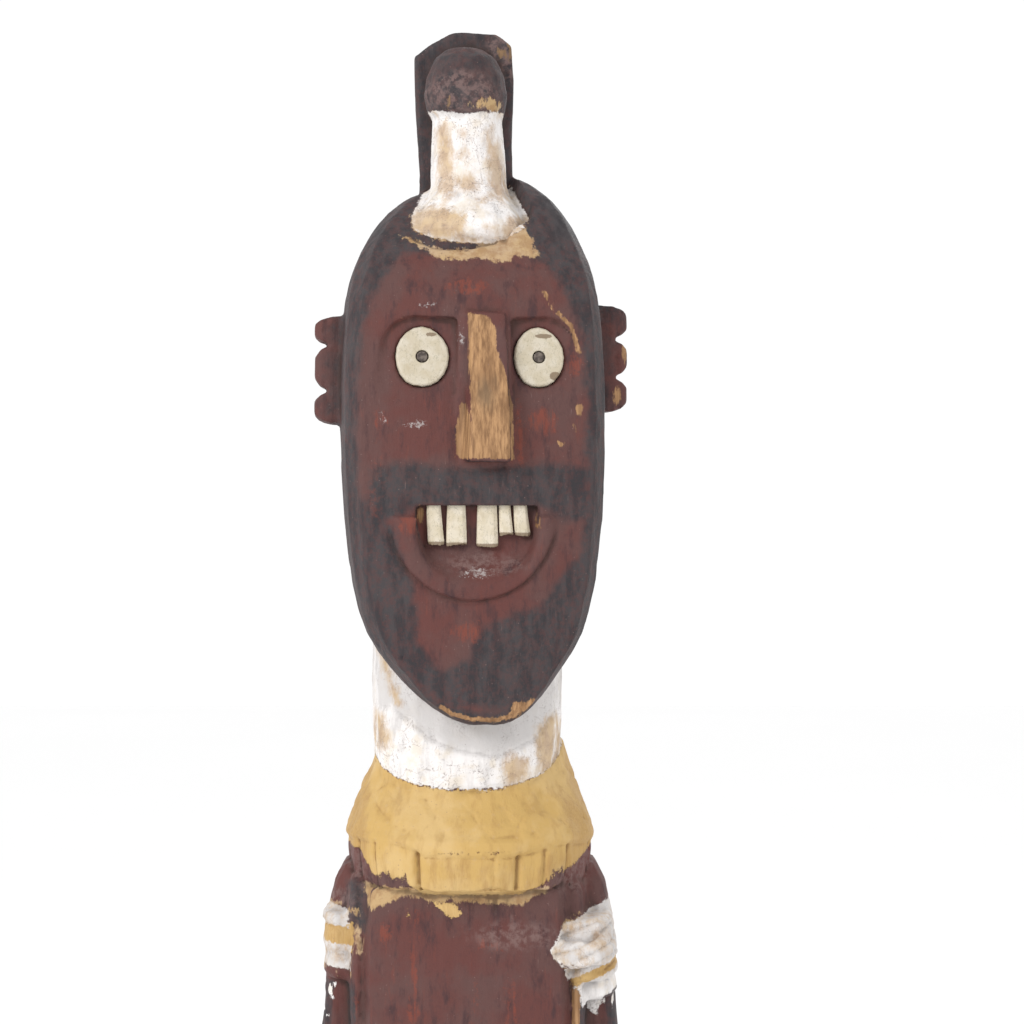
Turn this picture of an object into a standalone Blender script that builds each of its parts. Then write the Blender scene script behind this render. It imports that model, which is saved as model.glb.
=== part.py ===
"""Carved and painted ancestor figure with inlaid eyes and teeth, on a low base cut from the same log.

Metres, +Z up. The figure faces -Y, and the origin is under the middle of the base.
The log has one solid. Two eye discs, the peg in each disc and five teeth are let into it.
The free carving keeps its proportions: its stations are in notches, and NOTCHES of them make the
figure's height above the base. The base, the inlays, their seats and gaps have sizes of their own.
"""

import math

import bmesh
import bpy
from mathutils import Matrix, Vector

# Log and base
FIGURE_HEIGHT = 0.840
NOTCHES = 840.0
NOTCH = FIGURE_HEIGHT / NOTCHES
BASE_HEIGHT = 0.041
BASE_SIDE_MARGIN = 0.024
BASE_FRONT_MARGIN = 0.020
BASE_CHAMFER = 0.005
BASE_CORNER = 0.35

# Inlays and the gap that each keeps to the wood
INLAY_GAP = 0.0003
DISC_WIDTHS = {"left": 0.0215, "right": 0.0203}
DISC_HEIGHT = 0.0243
DISC_THICKNESS = 0.0040
DISC_SEAT = 0.0022
DISC_EDGE = 0.0007
DISC_SIDES = 20
PEG_DIAMETER = 0.0046
PEG_RECESS = 0.0002
PEG_EDGE = 0.0004
PEG_SIDES = 12
SEAT_CLEAR = 0.010
TOOTH_WIDTHS = (0.0055, 0.0072, 0.0076, 0.0044, 0.0052)
TOOTH_LENGTHS = (0.0156, 0.0160, 0.0164, 0.0120, 0.0120)
TOOTH_FLARE = 0.0006
TOOTH_THICKNESS = 0.0032
TOOTH_SEAT = 0.0025
TOOTH_ROUGH = 0.0006

# Hewn sections: depth of the gentle crown between the arrises, place of an arris, depth of the facet past it
CROWN = 3.5
CROWN_SHARE = 0.1
ARRIS_SHARE = 0.9
FACET = 13.5
FACET_SHARE = 0.32

# Head, turned a little on the neck
HEAD_TURN = math.radians(6.0)
FACE_CENTRE = 1.2
CHIN = 551.8
CHIN_LENGTH = 88.2
UPPER_LIP = 18.0
NOSE_LENGTH = 58.0
PANEL_LENGTH = 54.0
EYE_DROP = 16.5
LIP_LINE = CHIN + CHIN_LENGTH
NOSE_FOOT = LIP_LINE + UPPER_LIP
BROW = NOSE_FOOT + NOSE_LENGTH
CHEEK_FOOT = BROW - PANEL_LENGTH
EYE_LEVEL = BROW - EYE_DROP
PANEL_FOOT = -53.8
PANEL_DEPTH = 7.5
PANEL_SWEEP = 0.03
PANEL_REACH = 41.0
PANEL_CORNER = 15.0
PANEL_SPLAY = 3.0
PANEL_RUNOUT = 8.0
NOSE_CENTRE = 2.6
NOSE_HALF = 10.6
NOSE_MARGIN = 0.3
NOSE_UNDERCUT = 0.8
NOSE_BACK = -40.0
NOSE_FLANK = -49.5
NOSE_LEFT_ARRIS = 0.62
NOSE_RIGHT_ARRIS = 0.92
NOSE_TOP_HALF = 9.4
NOSE_BEND = 4.0
NOSE_RISE = 1.5
# Rows of the nose: height, half width, front
NOSE_ROWS = (
    (NOSE_FOOT, NOSE_HALF, -63.0),
    (BROW - NOSE_BEND, NOSE_TOP_HALF, -53.6),
    (BROW + NOSE_RISE, NOSE_TOP_HALF, -52.0),
)
EYE_SPREAD = 23.5
MOUTH_CENTRE = -0.5
MOUTH_HALF = 24.5
MOUTH_DROP = 30.0
MOUTH_WALL = -48.2
MOUTH_FLOOR = 19.0
MOUTH_ROUNDING = 0.55
MOUTH_CORNER = 1.5
MOUTH_SLOPE = 9.5
LIP_OFFSET = 1.5
LIP_HALF = 33.5
LIP_LOWERING = 4.0
LIP_TOP = LIP_LINE - LIP_LOWERING
LIP_DROP = 34.0
LIP_BEVEL = 3.0
LIP_BACK = -38.0
LIP_PROUD = 2.6
CLEAR_OF_FACE = -80.0
TOOTH_CENTRES = (-17.9, -8.7, 3.7, 10.6, 16.8)
TOOTH_LEANS = (1.1, 0.1, 0.1, 0.9, 1.3)
HEAD_HALF = 53.2
# Rows of the head: height, half width, front, back, sideways shift
HEAD_ROWS = (
    (CHIN, 7.0, -50.0, -40.0, 4.0),
    (555.0, 15.0, -53.5, -32.0, 3.0),
    (563.5, 25.5, -56.0, -22.0, 1.5),
    (574.5, 34.5, -57.0, -8.0, 0.5),
    (588.0, 43.0, -57.5, 14.0, 0.0),
    (608.0, 48.5, -57.0, 34.0, 0.0),
    (635.0, 51.5, -55.0, 44.0, 0.0),
    (672.0, HEAD_HALF, -52.5, 50.0, 0.0),
    (705.0, 52.6, -50.8, 51.0, 0.0),
    (726.0, 50.8, -47.5, 49.0, 0.0),
    (740.0, 47.5, -40.0, 46.0, 0.5),
    (752.0, 42.0, -30.0, 41.0, 1.0),
    (762.0, 34.5, -20.0, 35.0, 1.5),
    (769.0, 25.5, -11.0, 28.0, 1.5),
    (773.5, 13.0, -2.0, 19.0, 1.0),
)
# Rows of the trunk: height, half width, front, back, sideways shift
TRUNK_ROWS = (
    (238.0, 37.0, -28.0, 32.0, 0.0),
    (254.0, 47.0, -37.0, 42.0, 0.0),
    (280.0, 50.0, -43.0, 44.0, 0.0),
    (312.0, 48.0, -46.5, 39.0, 0.0),
    (350.0, 44.5, -43.0, 34.0, 0.0),
    (400.0, 43.0, -39.0, 36.0, 0.0),
    (450.0, 43.5, -38.5, 39.0, 0.0),
    (480.0, 42.5, -37.0, 39.0, 0.0),
    (510.0, 37.0, -33.0, 35.0, 0.0),
)
# Rows of the neck, from under the collar to behind the jaw
NECK_ROWS = (
    (500.0, 37.5, -34.0, 35.0, 0.0),
    (526.0, 37.5, -35.5, 35.5, 0.0),
    (537.0, 38.8, -36.5, 36.5, 0.0),
    (550.0, 40.0, -34.5, 37.5, 0.0),
    (570.0, 40.5, -33.0, 38.5, 0.0),
    (610.0, 40.0, -30.0, 39.0, 0.0),
)
# Collar, from its rim down: height at the front, height at the back, half width, front, back, petal depth
COLLAR_ROWS = (
    (519.0, 546.0, 34.0, -31.5, 33.0, 0.0),
    (524.0, 556.0, 39.0, -37.0, 38.0, 0.0),
    (517.0, 544.0, 42.0, -40.0, 41.0, 0.0),
    (510.0, 524.0, 48.0, -45.5, 45.0, 0.4),
    (505.5, 509.0, 51.8, -48.5, 48.0, 1.2),
    (502.5, 503.0, 51.0, -48.0, 47.5, 1.4),
    (500.5, 500.5, 50.2, -47.0, 46.5, 2.4),
    (497.0, 497.5, 51.4, -48.8, 48.0, 2.4),
    (485.0, 490.0, 50.0, -47.6, 47.0, 2.6),
    (482.5, 488.0, 44.5, -41.0, 42.0, 2.2),
    (482.5, 488.0, 36.0, -33.0, 34.0, 0.0),
)
PETALS = 17
PETAL_TURN = math.radians(5.0)
PETAL_LINE = 0.09
COLLAR_SHIFT = 1.2

# Topknot
TOPKNOT_SHIFT = -1.5
SLAB_OUTLINE = (
    (-19.0, 755.0), (-18.5, 780.0), (-20.3, 806.0), (-21.0, 829.5), (-14.5, 834.5),
    (-4.2, 840.0), (13.6, 839.2), (20.2, 834.5), (21.2, 819.0), (20.4, 788.0), (21.0, 755.0),
)
SLAB_MIDDLE = (0.5, 800.0)
SLAB_FRONT = 3.0
SLAB_BACK = 19.0
SLAB_CHAMFER = 1.3
# Rows of the knob: height, half width, front, back, sideways shift
KNOB_ROWS = (
    (740.0, 17.0, -24.0, 12.0, 1.0),
    (747.0, 20.5, -31.5, 12.0, 2.0),
    (749.5, 22.8, -36.5, 12.0, 2.4),
    (753.0, 24.2, -38.0, 12.0, 2.6),
    (758.5, 23.2, -35.5, 12.0, 2.6),
    (768.0, 17.6, -26.5, 12.0, 2.4),
    (773.0, 16.0, -22.5, 12.0, 2.4),
    (787.0, 15.6, -21.0, 12.0, 2.0),
    (801.5, 14.8, -20.0, 12.0, 1.6),
    (803.5, 16.4, -22.0, 12.0, 1.2),
    (810.5, 17.8, -23.5, 12.0, 1.0),
    (818.5, 16.6, -22.0, 12.0, 1.0),
    (826.5, 13.2, -18.0, 12.0, 0.8),
    (830.5, 8.5, -12.0, 10.0, 0.6),
    (832.0, 3.5, -5.0, 6.0, 0.4),
)

# Ears: reach beyond the head, top of the comb, height of each lobe
EARS = {
    "left": (10.5, 719.0, (12.0, 20.0, 14.0)),
    "right": (14.5, 724.5, (14.5, 16.5, 15.0)),
}
EAR_ROOT = 48.0
EAR_FRONT = -7.0
EAR_BACK = 8.0
EAR_NOTCH = 6.5
EAR_OVERLAP = 0.4
EAR_WEB_INSET = 3.0
EAR_WEB_THINNER = 2.0
# Rows of a lobe: distance in from its tip, half height as a share, thinning; the first is at the root
EAR_LOBE_ROWS = ((None, 0.5, 0.0), (7.0, 0.48, 0.0), (2.4, 0.38, 1.2), (0.0, 0.22, 3.4))

# Arms: a path of points with the section's half width and half depth at each
ARM_PATH = (
    ((40.0, 2.0, 494.0), 9.0, 14.0),
    ((46.5, 1.0, 481.0), 9.5, 15.5),
    ((50.3, 0.0, 465.0), 9.0, 15.0),
    ((50.6, 0.0, 442.0), 8.6, 14.5),
    ((52.0, 1.0, 415.0), 9.5, 14.5),
    ((57.0, 4.0, 375.0), 10.0, 14.5),
    ((60.5, 5.0, 350.0), 10.5, 13.5),
    ((60.0, -4.0, 334.0), 9.5, 11.5),
    ((54.0, -22.0, 325.0), 8.5, 10.5),
    ((44.0, -36.0, 320.0), 7.5, 10.0),
    ((33.0, -44.5, 316.5), 6.5, 10.5),
    ((23.0, -48.2, 313.5), 4.5, 11.5),
)
RIGHT_ARM_SHIFT = 2.6
FINGER_ROOT = (29.0, -47.6, 315.0)
FINGER_TIP = (11.5, -49.6, 309.0)
FINGER_PITCH = 5.6
FINGER_HALF = 2.5
FINGERS = 4
# Bands of each armlet: height, half height, half width, half depth, sideways place, depth place
ARMLETS = {
    "left": (
        (469.0, 3.0, 10.6, 19.0, 49.6, -3.0),
        (461.0, 6.5, 10.2, 19.0, 49.6, -3.0),
        (449.0, 5.0, 10.2, 19.5, 49.4, -3.0),
    ),
    "right": (
        (466.5, 5.0, 12.0, 24.0, 49.6, -9.0),
        (458.0, 5.5, 14.0, 28.0, 48.8, -13.5),
        (449.5, 4.6, 11.6, 24.0, 51.4, -8.0),
        (440.5, 4.4, 11.0, 20.0, 51.8, -4.0),
    ),
}
ARMLET_TILT = math.radians(8.0)
ARMLET_BEVEL = 2.2

# Legs: a path of points with the section's half width and half depth at each
LEG_PATH = (
    ((23.0, 1.0, 265.0), 20.0, 30.0),
    ((28.5, -1.0, 239.7), 22.5, 32.0),
    ((30.0, -7.0, 201.2), 21.5, 29.0),
    ((31.0, -16.0, 159.8), 19.0, 23.5),
    ((31.0, -17.0, 144.4), 18.5, 22.0),
    ((31.5, -5.0, 116.8), 20.5, 24.0),
    ((32.0, 4.0, 80.7), 19.5, 22.5),
    ((32.0, 6.0, 47.6), 15.5, 18.5),
    ((32.0, 5.0, 21.5), 15.5, 19.0),
    ((32.0, 4.0, -1.2), 15.5, 19.0),
)
# Rows of a foot, from heel to toe roots: depth, half width, height
FOOT_ROWS = (
    (27.0, 11.0, 15.0),
    (22.0, 15.5, 24.0),
    (8.0, 17.5, 32.0),
    (-12.0, 18.5, 29.0),
    (-30.0, 20.5, 20.0),
    (-44.0, 21.5, 15.0),
)
FOOT_CENTRE = 32.5
TOES = 5
TOE_LENGTH = 15.0
TOE_HEIGHT = 11.5
SOLE_SINK = 1.5
# Rows of a toe: share of its length, half width as a share of its pitch, share of its height
TOE_ROWS = ((-0.4, 0.47, 1.0), (0.55, 0.47, 1.0), (0.9, 0.38, 0.75), (1.0, 0.24, 0.5))

# Belt and apron
BELT_ROWS = (
    (256.5, 46.0, -38.0, 41.5, 0.0),
    (259.5, 52.0, -44.0, 46.5, 0.0),
    (267.0, 53.0, -45.5, 47.5, 0.0),
    (273.0, 52.6, -45.8, 47.0, 0.0),
    (276.0, 47.5, -41.5, 42.5, 0.0),
)
# Rows of the apron: height, half width, front
APRON_ROWS = ((188.0, 21.0, -40.5), (265.0, 17.0, -46.5))
APRON_BACK = -25.0
APRON_KEEL = 2.5
NAVEL = (0.5, -46.0, 338.0)
# Rows of the navel: depth from its middle, radius
NAVEL_ROWS = ((8.0, 5.5), (0.8, 5.5), (-1.0, 3.3))

FINISHES = {
    "painted_wood": ((0.16, 0.055, 0.045, 1.0), 0.68),
    "shell": ((0.72, 0.66, 0.54, 1.0), 0.42),
    "dark_wood": ((0.07, 0.06, 0.055, 1.0), 0.60),
}

HEAD_FRAME = Matrix.Rotation(HEAD_TURN, 4, "Z")
UPRIGHT = Matrix.Identity(4)


def clear_scene():
    for obj in list(bpy.data.objects):
        bpy.data.objects.remove(obj, do_unlink=True)


def finish(name):
    """The material of that name, made once."""
    material = bpy.data.materials.get(name)
    if material is None:
        colour, roughness = FINISHES[name]
        material = bpy.data.materials.new(name)
        material.use_nodes = True
        shader = material.node_tree.nodes["Principled BSDF"]
        shader.inputs["Base Color"].default_value = colour
        shader.inputs["Roughness"].default_value = roughness
        shader.inputs["Metallic"].default_value = 0.0
        material.diffuse_color = colour
    return material


def on_base(point):
    """A place in notches above the soles, as a place in metres above the ground."""
    return Vector(point) * NOTCH + Vector((0.0, 0.0, BASE_HEIGHT))


def signed_power(value, power):
    return math.copysign(abs(value) ** power, value)


def splined(rows, steps):
    """Rows of numbers with steps - 1 more between each two, on a curve through them all."""
    out = []
    for i in range(len(rows) - 1):
        before = rows[max(i - 1, 0)]
        after = rows[min(i + 2, len(rows) - 1)]
        for k in range(steps):
            t = k / steps
            weights = (
                -0.5 * t + t * t - 0.5 * t**3,
                1.0 - 2.5 * t * t + 1.5 * t**3,
                0.5 * t + 2.0 * t * t - 1.5 * t**3,
                -0.5 * t * t + 0.5 * t**3,
            )
            four = (before, rows[i], rows[i + 1], after)
            out.append(tuple(sum(w * row[c] for w, row in zip(weights, four)) for c in range(len(rows[i]))))
    out.append(tuple(rows[-1]))
    return out


def new_object(name, bm, material, collection):
    """The bmesh as an object, its faces pointing out."""
    bmesh.ops.recalc_face_normals(bm, faces=bm.faces[:])
    mesh = bpy.data.meshes.new(name)
    bm.to_mesh(mesh)
    bm.free()
    mesh.materials.append(finish(material))
    obj = bpy.data.objects.new(name, mesh)
    collection.objects.link(obj)
    return obj


def skin(rings, closed=False):
    """A bmesh skinned through rings of points, capped at its ends, or closed on itself."""
    bm = bmesh.new()
    loops = [[bm.verts.new(point) for point in ring] for ring in rings]
    pairs = list(zip(loops, loops[1:]))
    if closed:
        pairs.append((loops[-1], loops[0]))
    for low, high in pairs:
        for i in range(len(low)):
            j = (i + 1) % len(low)
            bm.faces.new((low[i], low[j], high[j], high[i]))
    if not closed:
        bm.faces.new(loops[0][::-1])
        bm.faces.new(loops[-1])
    bmesh.ops.triangulate(bm, faces=bm.faces[:])
    return bm


def form(name, rings, collection, frame=UPRIGHT, scale=on_base):
    """A helper form of the log, made of rings in notches, hidden from a render."""
    placed = [[scale(frame @ Vector(point)) for point in ring] for ring in rings]
    obj = new_object(name, skin(placed), "painted_wood", collection)
    obj.hide_render = True
    obj.display_type = "WIRE"
    return obj


def hewn_ring(row):
    """A level ring with a nearly flat front between two arrises, flat sides and a rounded back."""
    height, half, front, back, shift = row
    depth = back - front
    crown = min(CROWN, CROWN_SHARE * depth)
    facet = min(FACET, FACET_SHARE * depth)
    waist = front + 0.56 * depth
    ring = []
    for k in range(9):
        share = -1.0 + k / 4.0
        ring.append((shift + share * ARRIS_SHARE * half, front + crown * share * share, height))
    ring.append((shift + half, front + facet, height))
    for k in range(9):
        angle = math.pi * k / 8.0
        across = signed_power(math.cos(angle), 0.8)
        ring.append((shift + half * across, waist + (back - waist) * math.sin(angle) ** 0.8, height))
    ring.append((shift - half, front + facet, height))
    return ring


def oval_ring(row, count=24, squareness=2.4):
    """A level oval ring, squarer than an ellipse."""
    height, half, front, back, shift = row
    middle = 0.5 * (front + back)
    depth = 0.5 * (back - front)
    power = 2.0 / squareness
    ring = []
    for k in range(count):
        angle = 2.0 * math.pi * (k + 0.5) / count
        across = signed_power(math.cos(angle), power)
        along = signed_power(math.sin(angle), power)
        ring.append((shift + half * across, middle + depth * along, height))
    return ring


def petal_ring(row):
    """A ring of flat petals, each with a sunk line beside it, that rises towards the back."""
    front_height, back_height, half, front, back, sink = row
    middle = 0.5 * (front + back)
    depth = 0.5 * (back - front)
    ring = []
    for petal in range(PETALS):
        for share, sunk in ((0.0, 1.0), (PETAL_LINE, 0.0), (1.0 - PETAL_LINE, 0.0)):
            angle = PETAL_TURN + 2.0 * math.pi * (petal + share) / PETALS
            reach = 1.0 - sunk * sink / half
            across = COLLAR_SHIFT + half * reach * math.cos(angle)
            along = middle + depth * reach * math.sin(angle)
            backness = 0.5 * (1.0 + math.sin(angle))
            ring.append((across, along, front_height + (back_height - front_height) * backness))
    return ring


def sweep_rings(path, side, shift=0.0, count=12, squareness=3.2):
    """Squared rings along a path that starts downwards, mirrored to the given side."""
    rows = [(*point, half, deep) for point, half, deep in path]
    points = [Vector((side * (row[0] + shift), row[1], row[2])) for row in rows]
    across = Vector((side, 0.0, 0.0))
    rings = []
    for i, row in enumerate(rows):
        along = (points[min(i + 1, len(rows) - 1)] - points[max(i - 1, 0)]).normalized()
        across = (across - along * across.dot(along)).normalized()
        deep = along.cross(across)
        ring = []
        for k in range(count):
            angle = 2.0 * math.pi * (k + 0.5) / count
            a = signed_power(math.cos(angle), 2.0 / squareness)
            b = signed_power(math.sin(angle), 2.0 / squareness)
            ring.append(points[i] + across * (row[3] * a) + deep * (row[4] * b))
        rings.append(ring)
    return rings


def face_front(u, z):
    """How far forward the face is at a place across it and up it, in the head's own frame."""
    rows = HEAD_ROWS
    z = min(max(z, rows[0][0]), rows[-1][0])
    low = max(i for i in range(len(rows) - 1) if rows[i][0] <= z)
    share = (z - rows[low][0]) / (rows[low + 1][0] - rows[low][0])
    half, front = (rows[low][c] + share * (rows[low + 1][c] - rows[low][c]) for c in (1, 2))
    return front + CROWN * (u / (ARRIS_SHARE * half)) ** 2


def on_face(outline, depth):
    """The points of an outline across and up the face, each at the depth that a function gives."""
    return [(u, depth(u, z), z) for u, z in outline]


def side_name(side):
    return "left" if side < 0 else "right"


# Head and its carving


def head_forms(forms):
    form("head", [hewn_ring(row) for row in splined(HEAD_ROWS, 2)], forms, HEAD_FRAME)
    nose_form(forms)
    lip_form(forms)
    for side in (-1, 1):
        ear_forms(side, forms)


def nose_form(forms):
    """A plank from the brow down, whose front stands further out towards its foot."""
    rings = []
    for height, half, front in NOSE_ROWS:
        low_front = height - (NOSE_UNDERCUT if height == NOSE_FOOT else 0.0)
        rings.append(
            [
                (NOSE_CENTRE - half, NOSE_BACK, height),
                (NOSE_CENTRE - half, NOSE_FLANK, height),
                (NOSE_CENTRE - NOSE_LEFT_ARRIS * half, front, low_front),
                (NOSE_CENTRE + NOSE_RIGHT_ARRIS * half, front, low_front),
                (NOSE_CENTRE + half, NOSE_FLANK, height),
                (NOSE_CENTRE + half, NOSE_BACK, height),
            ]
        )
    form("nose", rings, forms, HEAD_FRAME)


def half_moon(centre, half, drop, top, count=12):
    """The outline of a half moon, flat side up, from its right tip round to its left."""
    outline = []
    for k in range(count + 1):
        angle = math.pi * k / count
        across = signed_power(math.cos(angle), 0.85)
        outline.append((centre + half * across, top - drop * math.sin(angle)))
    return outline


def lip_form(forms):
    """A raised crescent round the lower edge of the mouth."""
    centre = MOUTH_CENTRE - LIP_OFFSET
    outline = half_moon(centre, LIP_HALF, LIP_DROP, LIP_TOP)
    crest = half_moon(centre, LIP_HALF - LIP_BEVEL, LIP_DROP - LIP_BEVEL, LIP_TOP - 0.6)
    rings = (
        on_face(outline, lambda u, z: LIP_BACK),
        on_face(outline, lambda u, z: face_front(u, z) - 0.35 * LIP_PROUD),
        on_face(crest, lambda u, z: face_front(u, z) - LIP_PROUD),
    )
    form("lower_lip", rings, forms, HEAD_FRAME)


def ear_forms(side, forms):
    """A comb of three lobes, each wider at its root than at its outer edge, on a web behind them."""
    name = side_name(side)
    reach, crest, heights = EARS[name]
    tip = HEAD_HALF + reach
    top = crest
    for i, height in enumerate(heights):
        middle = top - 0.5 * height
        rings = []
        for inset, slim, thin in EAR_LOBE_ROWS:
            out = tip - inset if inset is not None else EAR_ROOT
            low, high = middle - slim * height, middle + slim * height
            rings.append(
                [
                    (side * out, EAR_FRONT + thin, low),
                    (side * out, EAR_BACK - thin, low),
                    (side * out, EAR_BACK - thin, high),
                    (side * out, EAR_FRONT + thin, high),
                ]
            )
        form(f"ear_{name}_{i}", rings, forms, HEAD_FRAME)
        top -= height - EAR_OVERLAP
    web = []
    for out in (EAR_ROOT, tip - EAR_NOTCH):
        low, high = top + EAR_WEB_INSET, crest - EAR_WEB_INSET
        front, back = EAR_FRONT + EAR_WEB_THINNER, EAR_BACK - EAR_WEB_THINNER
        ring = [(front, low), (back, low), (back, high), (front, high)]
        web.append([(side * out, depth, height) for depth, height in ring])
    form(f"ear_web_{name}", web, forms, HEAD_FRAME)


def topknot_forms(forms):
    """A flat slab behind, and in front of it a faceted shaft with a knob above and a flared ring below."""
    shift = Matrix.Translation((TOPKNOT_SHIFT, 0.0, 0.0))
    across, height = SLAB_MIDDLE
    rows = (
        (SLAB_FRONT, SLAB_CHAMFER),
        (SLAB_FRONT + SLAB_CHAMFER, 0.0),
        (SLAB_BACK - SLAB_CHAMFER, 0.0),
        (SLAB_BACK, SLAB_CHAMFER),
    )
    rings = []
    for depth, inset in rows:
        ring = []
        for u, z in SLAB_OUTLINE:
            ring.append((u - math.copysign(inset, u - across), depth, z - math.copysign(inset, z - height)))
        rings.append(ring)
    form("slab", rings, forms, shift)
    form("knob", [oval_ring(row, count=14, squareness=2.3) for row in KNOB_ROWS], forms, shift)


def panel_depth(u, z):
    """Depth of the sunk eye panel, deepest under the brow, running out at the cheek."""
    fall = PANEL_DEPTH * (z - CHEEK_FOOT) / (BROW - CHEEK_FOOT)
    return PANEL_FOOT + fall + PANEL_SWEEP * abs(u - FACE_CENTRE)


def panel_cut(side, cuts):
    """A sunk panel beside the nose, with a rounded upper corner on its outer side."""
    inner = NOSE_CENTRE + side * (NOSE_HALF + NOSE_MARGIN)
    outer = FACE_CENTRE + side * PANEL_REACH
    low = CHEEK_FOOT - PANEL_RUNOUT
    splayed = outer + side * PANEL_SPLAY
    outline = [(inner, low), (splayed, low), (outer + side * 0.7 * PANEL_SPLAY, BROW - 2.2 * PANEL_CORNER)]
    for k in range(6):
        angle = 0.5 * math.pi * k / 5.0
        across = outer - side * PANEL_CORNER * (1.0 - math.cos(angle))
        outline.append((across, BROW - PANEL_CORNER * (1.0 - math.sin(angle))))
    outline.append((inner, BROW - 1.0))
    rings = (on_face(outline, lambda u, z: CLEAR_OF_FACE), on_face(outline, panel_depth))
    form(f"eye_panel_{side_name(side)}", rings, cuts, HEAD_FRAME)


def mouth_cut(cuts):
    """The open mouth: a flat roof, a wall behind the teeth and a floor that slopes out to the lower lip."""
    rings = []
    for k in range(9):
        angle = 0.5 * math.pi * k / 8.3
        half = MOUTH_HALF * math.cos(angle) ** MOUTH_ROUNDING
        height = LIP_LINE - MOUTH_DROP * math.sin(angle)
        slope = max(0.0, (LIP_LINE - MOUTH_FLOOR - height) / (MOUTH_DROP - MOUTH_FLOOR))
        wall = MOUTH_WALL - MOUTH_SLOPE * slope
        left, right = MOUTH_CENTRE - half, MOUTH_CENTRE + half
        rings.append(
            [
                (left, CLEAR_OF_FACE, height),
                (right, CLEAR_OF_FACE, height),
                (right, wall - MOUTH_CORNER, height),
                (MOUTH_CENTRE + 0.9 * half, wall, height),
                (MOUTH_CENTRE - 0.9 * half, wall, height),
                (left, wall - MOUTH_CORNER, height),
            ]
        )
    form("mouth", rings, cuts, HEAD_FRAME)


# Inlays


def eye_frame(side):
    """Where a disc's centre meets the panel: x across it, y up it, z out of the wood, in metres."""
    u = FACE_CENTRE + side * EYE_SPREAD
    here = Vector((u, panel_depth(u, EYE_LEVEL), EYE_LEVEL))
    right = (Vector((u + 1.0, panel_depth(u + 1.0, EYE_LEVEL), EYE_LEVEL)) - here).normalized()
    up = (Vector((u, panel_depth(u, EYE_LEVEL + 1.0), EYE_LEVEL + 1.0)) - here).normalized()
    out = right.cross(up).normalized()
    axes = Matrix((right, out.cross(right), out)).transposed()
    turn = HEAD_FRAME.to_3x3() @ axes
    return Matrix.Translation(on_base(HEAD_FRAME @ here)) @ turn.to_4x4()


def disc_ring(frame, width, height, grow, z):
    """The rim of a slightly uneven oval disc, grown by an amount, at a height above the panel."""
    ring = []
    for k in range(DISC_SIDES):
        angle = 2.0 * math.pi * k / DISC_SIDES
        uneven = 1.0 + 0.012 * math.cos(3.0 * angle + 0.6) + 0.008 * math.sin(5.0 * angle)
        x = (0.5 * width * uneven + grow) * math.cos(angle)
        y = (0.5 * height * uneven + grow) * math.sin(angle)
        ring.append(frame @ Vector((x, y, z)))
    return ring


def round_ring(frame, radius, z, count):
    angles = [2.0 * math.pi * k / count for k in range(count)]
    return [frame @ Vector((radius * math.cos(a), radius * math.sin(a), z)) for a in angles]


def eye(side, nodes, cuts):
    """A disc in its seat, with a peg in the hole through its middle."""
    name = side_name(side)
    frame = eye_frame(side)
    width = DISC_WIDTHS[name]
    front = DISC_THICKNESS - DISC_SEAT
    hole = 0.5 * PEG_DIAMETER + INLAY_GAP
    rings = [
        disc_ring(frame, width, DISC_HEIGHT, 0.0, -DISC_SEAT),
        disc_ring(frame, width, DISC_HEIGHT, 0.0, front - DISC_EDGE),
        disc_ring(frame, width, DISC_HEIGHT, -DISC_EDGE, front),
        round_ring(frame, hole, front, DISC_SIDES),
        round_ring(frame, hole, -DISC_SEAT, DISC_SIDES),
    ]
    new_object(f"eye_disc_{name}", skin(rings, closed=True), "shell", nodes)

    peg = 0.5 * PEG_DIAMETER
    top = front - PEG_RECESS
    rings = [
        round_ring(frame, peg, -DISC_SEAT, PEG_SIDES),
        round_ring(frame, peg, top - PEG_EDGE, PEG_SIDES),
        round_ring(frame, peg - PEG_EDGE, top, PEG_SIDES),
    ]
    new_object(f"eye_peg_{name}", skin(rings), "dark_wood", nodes)

    rings = [
        disc_ring(frame, width, DISC_HEIGHT, INLAY_GAP, -DISC_SEAT - INLAY_GAP),
        disc_ring(frame, width, DISC_HEIGHT, INLAY_GAP, front + SEAT_CLEAR),
    ]
    form(f"eye_seat_{name}", rings, cuts, scale=Vector)


def tooth_rings(i, grow):
    """A slip with its head up in the lip and its foot hanging free, grown by a gap for its slot."""
    half = 0.5 * TOOTH_WIDTHS[i]
    line = on_base((0.0, 0.0, LIP_LINE)).z
    back = MOUTH_WALL * NOTCH - INLAY_GAP
    front = back - TOOTH_THICKNESS
    shoulder = front + 0.3 * TOOTH_THICKNESS
    rows = (
        (-TOOTH_LENGTHS[i], half + TOOTH_FLARE, TOOTH_LEANS[i], TOOTH_ROUGH),
        (-0.5 * TOOTH_LENGTHS[i], half + 0.6 * TOOTH_FLARE, 0.5 * TOOTH_LEANS[i], 0.0),
        (TOOTH_SEAT + grow, half, 0.0, 0.0),
    )
    rings = []
    for rise, wide, lean, rough in rows:
        x = (TOOTH_CENTRES[i] + lean) * NOTCH
        z = line + rise
        w = wide + grow
        slant = rough * (-1) ** i
        rings.append(
            [
                (x - w, shoulder - grow, z + slant),
                (x - 0.6 * w, front - grow, z - 0.6 * rough),
                (x + 0.6 * w, front - grow, z - slant),
                (x + w, shoulder - grow, z + 0.5 * rough),
                (x + w, back + grow, z),
                (x - w, back + grow, z),
            ]
        )
    return [[HEAD_FRAME @ Vector(point) for point in ring] for ring in rings]


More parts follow.
